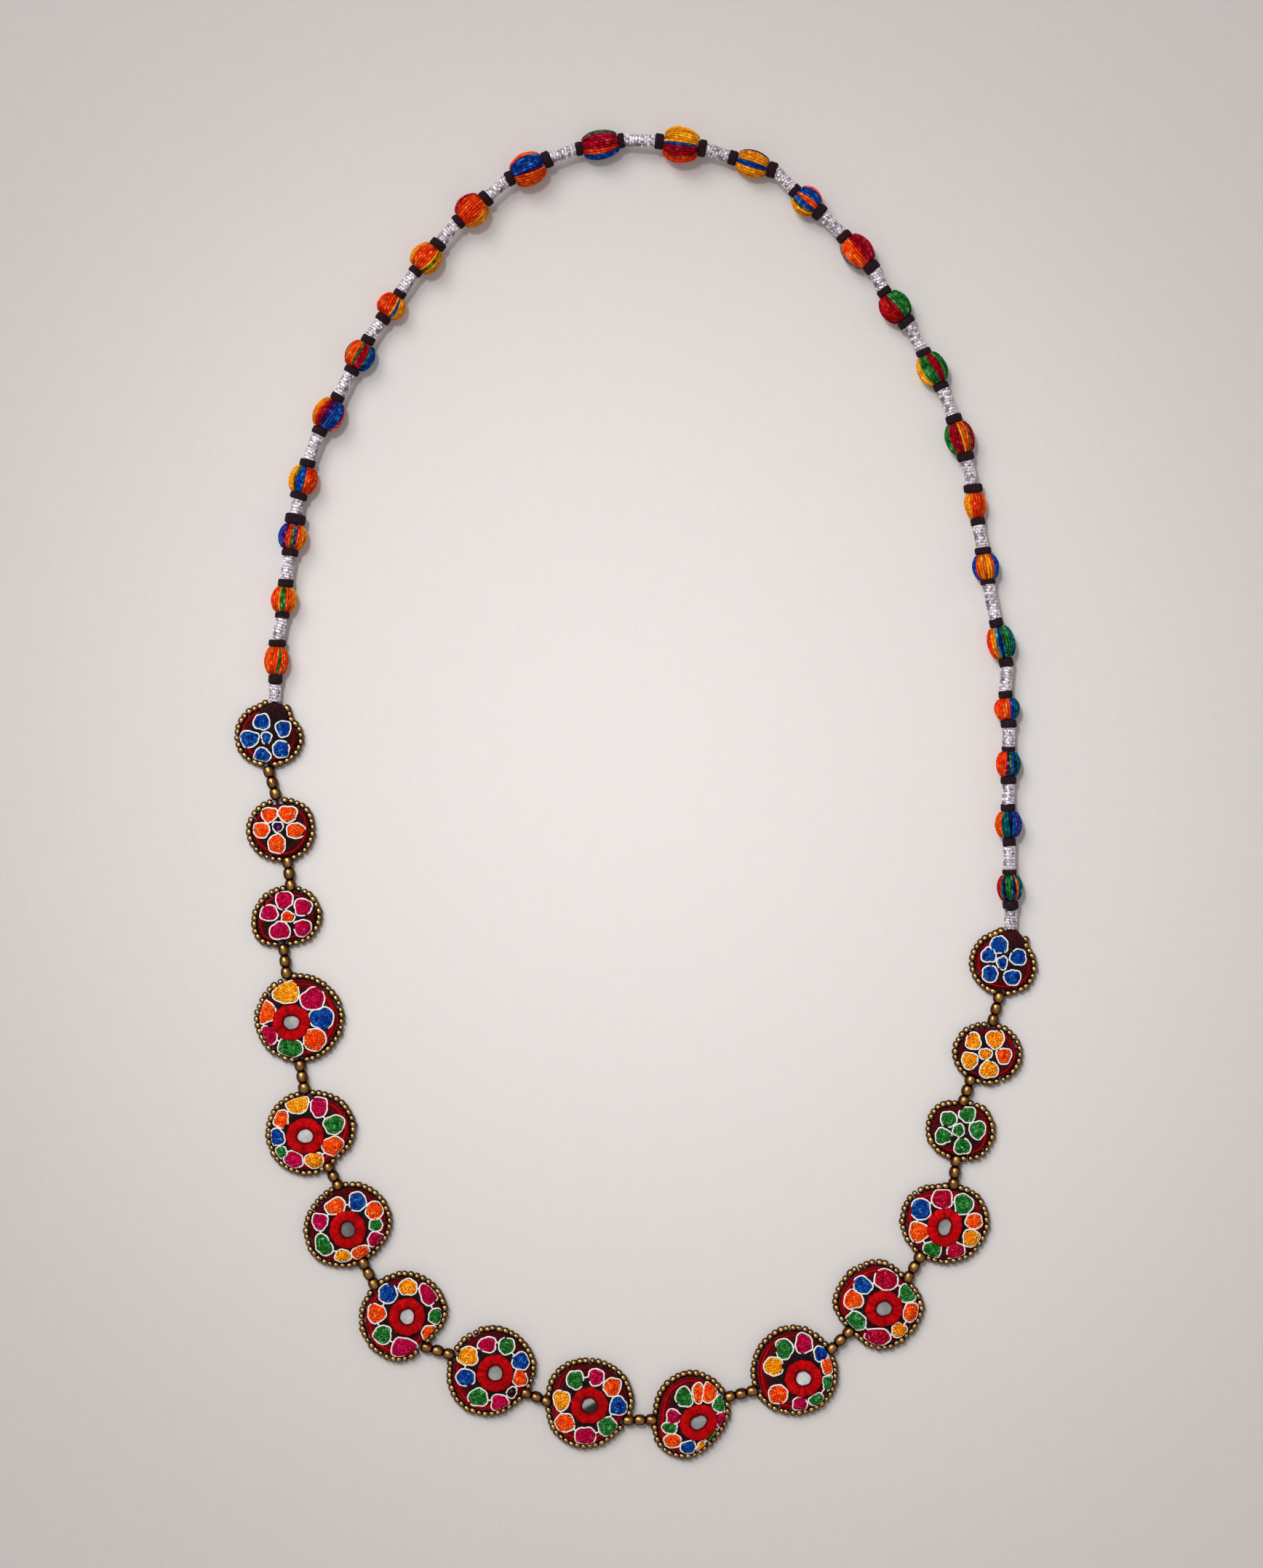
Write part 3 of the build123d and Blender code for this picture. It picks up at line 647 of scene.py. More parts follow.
def worn_and_shaded_metal_material(name, bright, middling, dark, roughness, pits):
    """Old metal, bright on its top and dark down its sides: partly rubbing and tarnish, partly
    painted highlight on the top and painted shade down the sides.

    The mix is 0.8 times the height of the surface's normal, less 0.05, plus 0.35 times a noise.
    """
    material, tree, shader = new_material(name)
    place = object_coordinates(tree)
    normal = tree.nodes.new("ShaderNodeNewGeometry").outputs["Normal"]
    split = add_node(tree, "ShaderNodeSeparateXYZ", normal)
    noise = add_noise(tree, place, pits, 4.0)
    wear_and_shade, painted_topside = [tree.nodes.new("ShaderNodeMath") for _ in range(2)]
    wear_and_shade.operation = painted_topside.operation = "MULTIPLY_ADD"
    wear_and_shade.inputs[1].default_value = 0.35
    painted_topside.inputs[1].default_value = 0.8
    painted_topside.inputs[2].default_value = -0.05
    tree.links.new(noise, wear_and_shade.inputs[0])
    tree.links.new(split.outputs["Z"], painted_topside.inputs[0])
    tree.links.new(painted_topside.outputs[0], wear_and_shade.inputs[2])
    # Lighter where the normal points up, darker down the sides: partly rubbing and tarnish, partly
    # painted highlight and painted shade.
    stops = [(0.38, linear(dark)), (0.74, linear(middling)), (1.0, linear(bright))]
    tree.links.new(add_ramp(tree, wear_and_shade.outputs[0], stops), shader.inputs["Base Color"])
    stops = [(0.3, grey(roughness * 0.7)), (0.75, grey(min(1.0, roughness * 1.5)))]
    tree.links.new(add_ramp(tree, noise, stops), shader.inputs["Roughness"])
    add_bump(tree, shader, noise, 0.35, 0.0002)
    settle(shader, Metallic=1.0)
    return material


def foil_material(name, bright, dark):
    """Wound foil: silver with crumpled facets and patches of tarnish, times its own dye, which
    holds painted shade in the grooves, painted reflections on the facets and tarnish.
    """
    material, tree, shader = new_material(name)
    place = object_coordinates(tree)
    # The dye holds painted shade in the grooves and painted reflections on the facets, with
    # tarnish.
    groove = attribute(tree, "dye", "Color")
    facets = add_node(tree, "ShaderNodeTexVoronoi", place, Scale=1500.0)
    stops = [(0.36, linear(dark)), (0.52, linear(bright))]
    tarnish = add_ramp(tree, add_noise(tree, place, 900.0, 4.0), stops)
    tree.links.new(multiplied(tree, tarnish, groove), shader.inputs["Base Color"])
    add_bump(tree, shader, facets.outputs["Distance"], 0.7, 0.0003)
    settle(shader, Metallic=0.25, Roughness=0.3)
    return material


def mirror_material(name):
    """Old mirror glass: a painted reflection, the mesh's own grey, smeared, under a thin gloss."""
    material, tree, shader = new_material(name)
    place = object_coordinates(tree)
    # The mesh's dye is the mirror's grey: a painted reflection.
    painted_reflection = attribute(tree, "dye", "Color")
    smears = add_patches(tree, place, 500.0, 5.0, (0.35, 0.86), (0.7, 1.08))
    colour = multiplied(tree, painted_reflection, smears)
    specks = add_patches(tree, place, 2400.0, 1.0, (0.70, 0), (0.78, 1))
    tree.links.new(add_mix(tree, specks, colour, grey(0.12)), shader.inputs["Base Color"])
    settle(shader, Metallic=0.12, Roughness=0.25)
    return material


# The necklace's own geometry, read from the frame.


BeadPlace = namedtuple("BeadPlace", "centre travel length radius belly")
TubePlace = namedtuple("TubePlace", "centre travel length radius")

# In millimetres: how far a sleeve reaches into a collar, how long a brass bead may be and how
# high the cloth stands at the middle of a disc and over a sleeve's end.
sleeve_overlap = 0.4
spacer_length = 4.0
crowns = {"large": 5.0, "small": 4.8}
hump_height = 5.2
hump_reach = 5.1


def bead_places():
    """Places of the yarn beads in string order, each between the two collars nearest to it."""
    collar_middles = np.array([middle(points) for points in loose_solids("black_collars")])
    places = []
    previous = np.array([discs[0].x, discs[0].y, 0.0])
    for number in range(1, len(windings) + 1):
        points, _ = node_points(f"yarn_bead_{number:02d}")
        nearest = np.argsort(np.linalg.norm(collar_middles - middle(points), axis=1))[:2]
        first, last = collar_middles[nearest]
        if np.linalg.norm(first - previous) > np.linalg.norm(last - previous):
            first, last = last, first
        travel = unit(last - first)
        centre = (first + last) / 2
        lengths, radii = from_axis(points, centre, travel)
        length = lengths.max() - lengths.min()
        belly = (lengths[radii.argmax()] + length / 2) / length
        places.append(BeadPlace(centre, travel, length, radii.max(), belly))
        previous = centre
    return places


def sleeve_places(beads):
    """Places of the sleeves in string order.

    A sleeve between two beads runs straight from collar to collar. The first and the last, which
    go into the discs, keep the CAD's own axis and length.
    """
    solids = loose_solids("silver_sleeves")
    first_end = np.array([humps[1].x, humps[1].y, beads[0].centre[2]])
    last_end = np.array([humps[16].x, humps[16].y, beads[-1].centre[2]])
    centres = [first_end] + [bead.centre for bead in beads] + [last_end]
    places = []
    for start, end in zip(centres, centres[1:]):
        halfway = (start + end) / 2
        points = min(solids, key=lambda solid: np.linalg.norm(middle(solid) - halfway))
        travel = tube_axis(points, unit(end - start))
        lengths, radii = from_axis(points, middle(points), travel)
        length = lengths.max() - lengths.min()
        places.append(TubePlace(middle(points), travel, length, radii.max()))
    between = zip(beads, collar_pairs, beads[1:], collar_pairs[1:])
    for index, (before, before_collars, after, after_collars) in enumerate(between, start=1):
        leaves = before.length / 2 + before_collars.end_length - sleeve_overlap
        arrives = after.length / 2 + after_collars.length - sleeve_overlap
        start = before.centre + before.travel * leaves
        end = after.centre - after.travel * arrives
        span = np.linalg.norm(end - start)
        places[index] = TubePlace((start + end) / 2, unit(end - start), span, places[index].radius)
    return places


def tube_axis(points, guess):
    """Axis of a tube: the direction near the guess from one end ring's middle to the other's."""
    lengths = (points - points.mean(axis=0)) @ guess
    first = points[lengths < lengths.min() + 1.0].mean(axis=0)
    last = points[lengths > lengths.max() - 1.0].mean(axis=0)
    return unit(last - first)


class Outline:
    """A disc's cloth outline as a radius for every direction from the disc's middle."""

    def __init__(self, disc):
        points, _ = node_points(f"disc_{disc.number:02d}")
        self.disc = disc
        self.middle = np.array([disc.x, disc.y])
        low = points[points[:, 2] < 0.3]
        angles = np.arctan2(low[:, 1] - disc.y, low[:, 0] - disc.x)
        radii = distance(low, disc.x, disc.y)
        rim = radii > 0.6 * radii.max()
        order = np.argsort(angles[rim])
        self.angles = angles[rim][order]
        self.radii = radii[rim][order]

    def radius(self, angles):
        """Radius at some angles, straight between the CAD's own corners."""
        wrapped = (np.asarray(angles) + np.pi) % TURN - np.pi
        return np.interp(wrapped, self.angles, self.radii, period=TURN)

    def measured(self, points):
        """Offsets of points from the middle, their distances and the outline's radii there."""
        offsets = points[..., :2] - self.middle
        radii = self.radius(np.arctan2(offsets[..., 1], offsets[..., 0]))
        return offsets, np.hypot(offsets[..., 0], offsets[..., 1]), radii

    def share(self, points):
        """How far out points lie: 0 at the middle, 1 at the outline."""
        _, reach, radii = self.measured(points)
        return reach / radii

    def drawn_in(self, points, margin):
        """Points with those nearer to the outline than a margin moved straight in to it."""
        offsets, reach, radii = self.measured(points)
        scale = np.minimum(1.0, (radii - margin) / np.maximum(reach, 0.1))
        moved = points.copy()
        moved[..., :2] = self.middle + offsets * scale[..., None]
        return moved

    def height(self, points):
        """Height of the cloth: a dome that falls with the square of the share, then rounds off."""
        fall, rounding = 1.3, 0.7
        share = np.minimum(self.share(points), 1.0)
        edge = smooth_step(share, 0.9, 1.0) ** 2
        dome = crowns[self.disc.size] - fall * share**2 - rounding * edge
        hump = humps.get(self.disc.number)
        if hump is None:
            return dome
        away = distance(points, hump.x, hump.y)
        raised = hump_height * np.sqrt(np.clip(1 - (away / hump_reach) ** 4, 0, 1))
        return np.maximum(dome, raised)


def spacer_places():
    """Places of the brass beads, three to a row, along the line of the CAD's own row.

    The row fills the string between the two discs' cloth, up to the longest that a bead may be.
    Two distances are in millimetres: how far from halfway between two discs their beads may lie,
    and how far from the row's middle the cloth is looked for.
    """
    row_reach, cloth_reach = 8.5, 14.0
    sides = ("right", "bottom", "left")
    solids = [points for side in sides for points in loose_solids(f"brass_spacers_{side}")]
    middles = np.array([middle(points) for points in solids])
    places = []
    for before, after in zip(discs, discs[1:]):
        halfway = np.array([(before.x + after.x) / 2, (before.y + after.y) / 2, middles[0, 2]])
        row = np.flatnonzero(np.linalg.norm(middles - halfway, axis=1) < row_reach)
        towards = unit(np.array([after.x - before.x, after.y - before.y, 0.0]))
        row = row[np.argsort(middles[row] @ towards)]
        travel = unit(middles[row[-1]] - middles[row[0]])
        radius = from_axis(solids[row[0]], middles[row[0]], travel)[1].max()
        steps = np.linspace(-cloth_reach, cloth_reach, 281)
        row_middle = middles[row].mean(axis=0)
        line = row_middle + travel * steps[:, None]
        start = steps[outlines[before.number].share(line) < 1].max()
        end = steps[outlines[after.number].share(line) < 1].min()
        length = min(spacer_length, (end - start - 0.1) / 3)
        for index in (-1, 0, 1):
            centre = row_middle + travel * ((start + end) / 2 + index * length)
            places.append(TubePlace(centre, travel, length, radius))
    return places


outlines = {disc.number: Outline(disc) for disc in discs}
beads = bead_places()
sleeves = sleeve_places(beads)
spacers = spacer_places()
mirror_middles = {}
for solid in loose_solids("mirrors"):
    spot = middle(solid)
    nearest = min(discs, key=lambda disc: np.hypot(disc.x - spot[0], disc.y - spot[1]))
    mirror_middles[nearest.number] = spot


# Shapes of the pieces.


def tube_rings(path, radii, columns, right, up, flatness=1.0):
    """Rings round a path: up times cosine plus right times sine, both times the radius.

    path is (copies, rows, 3), radii (copies, rows) or with a columns axis. Returns
    (copies, rows, columns, 3).
    """
    angle = full_turn(columns)
    if radii.ndim == path.ndim - 1:
        radii = radii[..., None]
    rise = (radii * np.cos(angle) * flatness)[..., None] * up[..., None, :]
    side = (radii * np.sin(angle))[..., None] * right[..., None, :]
    return path[..., None, :] + rise + side


def straight_tube(centre, travel, along, radii):
    """Rings with radii (rows, columns) at distances along a straight axis."""
    right, up = side_and_up(travel)
    path = centre + travel * along[:, None]
    return tube_rings(path[None], radii[None], radii.shape[1], right[None, None], up[None, None])


def stations_along(centre, travel, half, stations):
    """Points of many short axes, at stations from -1 at their one end to 1 at the other."""
    return centre[:, None] + travel[:, None] * (half[:, None] * stations)[..., None]


def painted_top_light(columns, low, gain):
    """Painted light and shade round a section: low at its shaded foot, a gain at its lit top."""
    return low + gain * (np.cos(full_turn(columns)) + 1) / 2


def glow_round(disc, angles):
    """How bright a disc's reds are in some directions: a power of a half cosine of the bearing."""
    glow = glows[disc.number]
    return (0.5 + 0.5 * np.cos(angles - np.radians(glow.bearing))) ** glow.focus


def cloth_disc(outline, rng, dyes):
    """Stuffed cloth disc on a polar grid.

    A profile (share of the outline's radius, height) runs from the middle of the back over the
    side to the middle of the front. The front follows Outline.height, less the pocket that the
    mirror sits in, and the side is drawn in by shallow puckers, a cosine of the angle. The dye
    turns from black to maroon towards the rim, most on the side that glows, and least on the
    three small discs of the left side.
    """
    columns = 104
    disc = outline.disc
    hump = humps.get(disc.number)
    angle = full_turn(columns)
    back = [(0.05, 0.25), (0.5, 0.12), (0.85, 0.0), (0.95, 0.05)]
    side = [(0.99, 0.45), (1.0, 1.1), (1.0, 1.9), (0.995, 2.6)]
    shares, heights = np.array(back + side).T
    front = np.linspace(0.985, 0.03, 20)
    puckers = 1 + 0.012 * np.cos(angle * 23 + rng.uniform(0, TURN)) * np.cos(angle * 5)
    share = np.concatenate([shares, front])[:, None] * puckers**2
    share[: len(back)] /= puckers**2
    points = np.empty((1, len(share), columns, 3))
    points[0, ..., :2] = around(disc.x, disc.y, share * outline.radius(angle), angle)
    points[0, : len(shares), :, 2] = heights[:, None]
    top = points[0, len(shares) :]
    top[..., 2] = outline.height(top)
    if disc.number in mirror_middles:
        pocket_depth, floor_radius, rim_radius = 1.5, 5.0, 6.2
        away = distance(top, *mirror_middles[disc.number][:2])
        top[..., 2] -= pocket_depth * (1 - smooth_step(away, floor_radius, rim_radius))
    rim = smooth_step(share, 0.55, 0.95) * (np.arange(len(share)) >= len(back))[:, None]
    stain = (0.12 + 0.88 * rim) * (0.35 + 0.65 * glow_round(disc, angle))
    if hump is not None:
        away = distance(points[0], hump.x, hump.y)
        stain = stain * (0.4 + 0.6 * smooth_step(away, 4.5, 6.5)) + 0.1 * (away < 5.5)
    if disc.number in dark_discs:
        stain = stain * 0.5
    colour = blend(dyes["black"], dyes["maroon"], stain[..., None])
    return skin(points), spread_values(colour[None])


def flower_middle(disc):
    """Offset of a flower's middle from the disc's: the mirror, or the last petal in the list."""
    if disc.number in mirror_middles:
        spot = mirror_middles[disc.number]
        return spot[0] - disc.x, spot[1] - disc.y
    centre = petals[disc.number][-1]
    return centre.x, centre.y


def petal_radius(petal, disc, angles):
    """Radius of a petal in some directions from its middle.

    A rounded box, the superellipse of power 2.3, turned as the petal is, that narrows towards
    the middle of the flower by a cosine of the direction. Two more cosines, of three and of five
    times the direction, make each petal a little uneven in its own way.
    """
    turned = angles - np.radians(petal.turn)
    across = np.abs(np.cos(turned)) / (petal.wide / 2)
    along = np.abs(np.sin(turned)) / (petal.tall / 2)
    box = (across**2.3 + along**2.3) ** (-1 / 2.3)
    flower = flower_middle(disc)
    outward = np.arctan2(petal.y - flower[1], petal.x - flower[0])
    uneven = 0.045 * np.cos(3 * angles + 2.1 * petal.x) + 0.03 * np.cos(5 * angles + 1.7 * petal.y)
    growth = petal_growth.get(disc.number, usual_growth)
    return box * (growth + 0.09 * np.cos(angles - outward) + uneven)


def petal_shares(points, disc):
    """How far out points lie in each of a disc's petals: 1 at a petal's edge."""
    shares = []
    for petal in petals[disc.number]:
        offsets = points[..., :2] - np.array([disc.x + petal.x, disc.y + petal.y])
        angles = np.arctan2(offsets[..., 1], offsets[..., 0])
        reach = np.hypot(offsets[..., 0], offsets[..., 1])
        shares.append(reach / petal_radius(petal, disc, angles))
    return np.array(shares)


def curve_lengths(curve):
    """Closed curve with its first point again at its end, and how far along it each one lies."""
    closed = np.concatenate([curve, curve[:1]])
    steps = np.linalg.norm(np.diff(closed, axis=0), axis=1)
    return closed, np.concatenate([[0], np.cumsum(steps)])


def curve_points(stations, lengths, curve):
    """Points of a curve at some distances along it."""
    return np.stack([np.interp(stations, lengths, curve[:, axis]) for axis in (0, 1)], axis=1)


def even_points(curve, spacing, rng):
    """Points at an even spacing along a closed curve, and the direction of the curve there."""
    closed, lengths = curve_lengths(curve)
    count = max(3, int(round(lengths[-1] / spacing)))
    stations = (np.arange(count) + rng.uniform(0, 1)) / count * lengths[-1] % lengths[-1]
    spots = curve_points(stations, lengths, closed)
    beyond = curve_points((stations + 0.2) % lengths[-1], lengths, closed)
    return spots, unit(beyond - spots)


def petal_stitches(outline, rng, dyes, pitch):
    """Chain stitches that fill the petals of a disc, in rows that follow each petal's edge.

    Each row lies one pitch further in than the last and a little higher, so that the petal is
    domed. A stitch that would lie in a neighbouring petal is left out. Each has soaked up its
    dye more or less deeply, a power of its colour. Returns places, directions, lifts and dyes.
    """
    first_inset, spacing, margin = 0.32, 1.02, 0.35
    disc = outline.disc
    angles = full_turn(96)
    rows = []
    for index, petal in enumerate(petals[disc.number]):
        reach = petal_radius(petal, disc, angles)
        inset = first_inset
        while inset < reach.mean():
            depth = inset / reach.mean()
            radius = np.maximum(reach * (1 - depth), 0.05)
            curve = around(disc.x + petal.x, disc.y + petal.y, radius, angles)
            spots, directions = even_points(curve, spacing, rng)
            spots = outline.drawn_in(spots + rng.normal(0, 0.06, spots.shape), margin)
            count = len(spots)
            swing = rng.normal(0, 0.45, count)
            ahead, aside = directions.T
            directions = np.stack(
                [
                    ahead * np.cos(swing) - aside * np.sin(swing),
                    ahead * np.sin(swing) + aside * np.cos(swing),
                ],
                axis=1,
            )
            kept = petal_shares(spots, disc).argmin(axis=0) == index
            lift = 0.12 + 0.62 * (1 - (1 - depth) ** 2) + rng.normal(0, 0.04, count)
            shade = rng.normal(1.10, 0.16, (count, 1)) * rng.normal(1.0, 0.03, (count, 3))
            soak = np.clip(rng.normal(1.0, 0.20, (count, 1)), 0.6, 1.5)
            colour = linear(dyes[petal.dye]) ** soak * np.clip(shade, 0.6, 1.5)
            rows.append((spots[kept], directions[kept], lift[kept], colour[kept]))
            inset += pitch
    return [np.concatenate(column) for column in zip(*rows)]


def petal_pads(outline, dyes):
    """Low domes of the petals' own dyes, at half strength as painted shade, under their stitches.

    A dome's height falls with the fourth power of the share of the petal's radius.
    """
    margin, sunk, rise, skirt = 0.25, 0.25, 0.85, 0.5
    disc = outline.disc
    rows, columns = 7, 36
    angles = full_turn(columns)
    shares = np.linspace(1.0, 0.06, rows)[:, None]
    results = []
    for petal in petals[disc.number]:
        reach = petal_radius(petal, disc, angles) * shares
        points = np.empty((1, rows, columns, 3))
        points[0, ..., :2] = around(disc.x + petal.x, disc.y + petal.y, reach, angles)
        points = outline.drawn_in(points, margin)
        points[0, ..., 2] = outline.height(points[0]) - sunk + rise * (1 - shares**4)
        foot = points[:, :1] - UP * skirt
        points = np.concatenate([foot, points], axis=1)
        # Half the petal's dye: painted shade in the gaps between the stitches.
        colour = np.broadcast_to(linear(dyes[petal.dye]) * 0.50, points.shape)
        lay = points * np.array([1.0, 1.0, 0.0])
        results.append((skin(points), spread_values(colour), spread_values(lay)))
    return gather(results)


def stitch_shapes(outline, stitches, length, width, rng):
    """Short fat spindles of thread, lying on the cloth along their directions.

    Each has three rings of six points: thinner near its tips than at its middle, which is raised
    into a low arch.
    """
    spots, directions, lift, dyes = stitches
    columns = 6
    count = len(spots)
    centre = np.concatenate([spots, (outline.height(spots) + lift)[:, None]], axis=1)
    travel = np.concatenate([directions, np.zeros((count, 1))], axis=1)
    right, up = side_and_up(travel)
    half = length / 2 * rng.normal(1.0, 0.08, count)
    stations = np.array([-0.62, 0.0, 0.62])
    path = stations_along(centre, travel, half, stations)
    path[..., 2] += np.array([-0.08, 0.04, -0.08])
    thickness = width / 2 * rng.normal(1.0, 0.08, count)[:, None] * np.array([0.72, 1.0, 0.72])
    rings = tube_rings(path, thickness, columns, right[:, None], up[:, None])
    tips = stations_along(centre, travel, half, np.array([-1.0, 1.0]))
    tips[..., 2] -= 0.18
    # Painted light and shade: darker at each stitch's two ends and its foot, lighter at its raised
    # middle and its top.
    shade = np.array([0.88, 1.08, 0.88])[:, None, None] * painted_top_light(columns, 0.56, 0.50)[:, None]
    colour = dyes[:, None, None, :] * shade
    along = (half[:, None] * stations)[..., None]
    across = thickness[..., None] * np.sin(full_turn(columns))
    across = across + rng.uniform(0, 90, count)[:, None, None]
    lay = thread_lay(rings, along, across, rng.uniform(0, 50, count)[:, None, None])
    # The tips, where each stitch sinks into the cloth, are darkened to half as painted shade.
    tip_colour = dyes[:, None, :].repeat(2, axis=1) * 0.5
    return skin(rings, tips), spread_values(colour, tip_colour), spread_values(lay)


def laid_thread(outline, path, width, rng, index, white):
    """White thread laid on the cloth along a path of (rows, 2) points, sinking at its two ends.

    It is buried where it runs into a petal other than the one with its own index.
    """
    rows, columns = len(path), 6
    share = np.linspace(0, 1, rows)
    ends = smooth_step(share, 0, 0.04) * smooth_step(1 - share, 0, 0.04)
    shares = petal_shares(path, outline.disc)
    if index is not None:
        shares[index] = np.inf
    raised, sunk, petal_share = 0.30, 0.35, 0.86
    buried = sunk * (shares.min(axis=0) < petal_share)
    centres = np.empty((1, rows, 3))
    centres[0, :, :2] = path
    centres[0, :, 2] = outline.height(path) + raised * ends - buried + rng.normal(0, 0.02, rows)
    right, up = side_and_up(unit(np.gradient(centres, axis=1)))
    thick = width / 2 * (1 + rng.normal(0, 0.10, rows))
    rings = tube_rings(centres, thick[None], columns, right, up, 0.9)
    steps = np.linalg.norm(np.diff(path, axis=0, prepend=path[:1]), axis=1)
    across = width / 2 * full_turn(columns) + rng.uniform(0, 60)
    lay = thread_lay(rings, np.cumsum(steps)[:, None], across)
    # Painted shade: the white is slightly darker at the thread's foot than at its top.
    colour = linear(white) * np.ones((1, rows, 1, 1)) * painted_top_light(columns, 0.97, 0.03)[:, None]
    return skin(rings), spread_values(colour), spread_values(lay)


def petal_edges(outline, rng, white, width):
    """White threads couched round the petals of a disc, and from petal to petal.

    Each thread follows its petal's edge a little way out, with a slow sway from sines, and leaves
    a gap. On a large disc, where two petals' threads come close but don't touch, a short straight
    one joins their nearest points.
    """
    outset, margin = 0.36, 0.05
    disc = outline.disc
    rows = 46
    results = []
    curves = []
    for index, petal in enumerate(petals[disc.number]):
        gap = rng.choice([0.01, 0.02, 0.04, 0.10]) * TURN
        phases = rng.uniform(0, TURN, 2)
        angles = phases[1] + np.linspace(0, TURN - gap, rows)
        sway = 0.14 * np.sin(angles * 3 + phases[0]) + 0.07 * np.sin(angles * 7 + phases[1])
        radius = petal_radius(petal, disc, angles) + outset + sway
        path = around(disc.x + petal.x, disc.y + petal.y, radius, angles)
        path = outline.drawn_in(path, margin)
        results.append(laid_thread(outline, path, width, rng, index, white))
        curves.append(path)
    if disc.number not in mirror_middles:
        return gather(results)
    touching, too_far = 0.4, 1.8
    steps = np.linspace(-0.1, 1.1, 8)[:, None]
    for index, curve in enumerate(curves):
        for other in curves[index + 1 :]:
            apart = np.linalg.norm(curve[:, None] - other[None], axis=-1)
            first, last = np.unravel_index(apart.argmin(), apart.shape)
            if touching < apart[first, last] < too_far:
                link = curve[first] + (other[last] - curve[first]) * steps
                results.append(laid_thread(outline, link, width, rng, None, white))
    return gather(results)


def ground_rings(outline, rng, dyes):
    """Dark red threads couched in rings just inside the edge of a disc.

    Each is a closed flattened tube at a distance in from the outline, with a slow sway. It turns
    from maroon to bright red where the disc glows, and dives under the petals and under the
    cloth where the string comes through.
    """
    disc = outline.disc
    hump = humps.get(disc.number)
    rows, columns = 120, 6
    angles = full_turn(rows)
    results = []
    threads = large_disc_threads if disc.number in mirror_middles else small_disc_threads
    for order, (inset, width, brightness) in enumerate(threads):
        sway = wave(rng, 0.16, 3, angles) + wave(rng, 0.07, 8, angles)
        radius = outline.radius(angles) - inset + sway
        if hump is not None:
            radius = np.minimum(radius, thread_limit - inset)
        path = np.empty((1, rows, 3))
        path[0, :, :2] = around(disc.x, disc.y, radius, angles)
        bare = smooth_step(petal_shares(path[0], disc).min(axis=0), 0.95, 1.12)
        path[0, :, 2] = outline.height(path[0]) + 0.10 - 0.9 * (1 - bare)
        if hump is not None:
            away = distance(path[0], hump.x, hump.y)
            path[0, :, 2] -= 1.6 * (1 - smooth_step(away, 4.2, 5.6))
        travel = unit(np.roll(path, -1, axis=-2) - np.roll(path, 1, axis=-2))
        right, up = side_and_up(travel)
        thick = width / 2 * (1 + 0.12 * np.sin(angles * 60) + rng.normal(0, 0.06, rows))
        rings = tube_rings(path, thick[None], columns, right, up, 0.8)
        bright = glow_round(disc, angles) * brightness + rng.normal(0, 0.08, rows)
        bright = np.clip(bright, 0, 1)[:, None]
        colour = blend(dyes["maroon"], dyes["crimson_ring"], bright)
        # Painted shade: each ring is darker at its foot than at its top.
        colour = colour[:, None, :] * painted_top_light(columns, 0.55, 0.45)[:, None]
        lay = thread_lay(rings, (angles * radius)[:, None], width / 2 * full_turn(columns), order)
        shape = skin(rings, closed_path=True)
        results.append((shape, colour.reshape(-1, 3), lay.reshape(-1, 3)))
    return gather(results)


def bell(values, centre, width):
    """Bell curve of a width round a centre."""
    return np.exp(-(((values - centre) / width) ** 2))


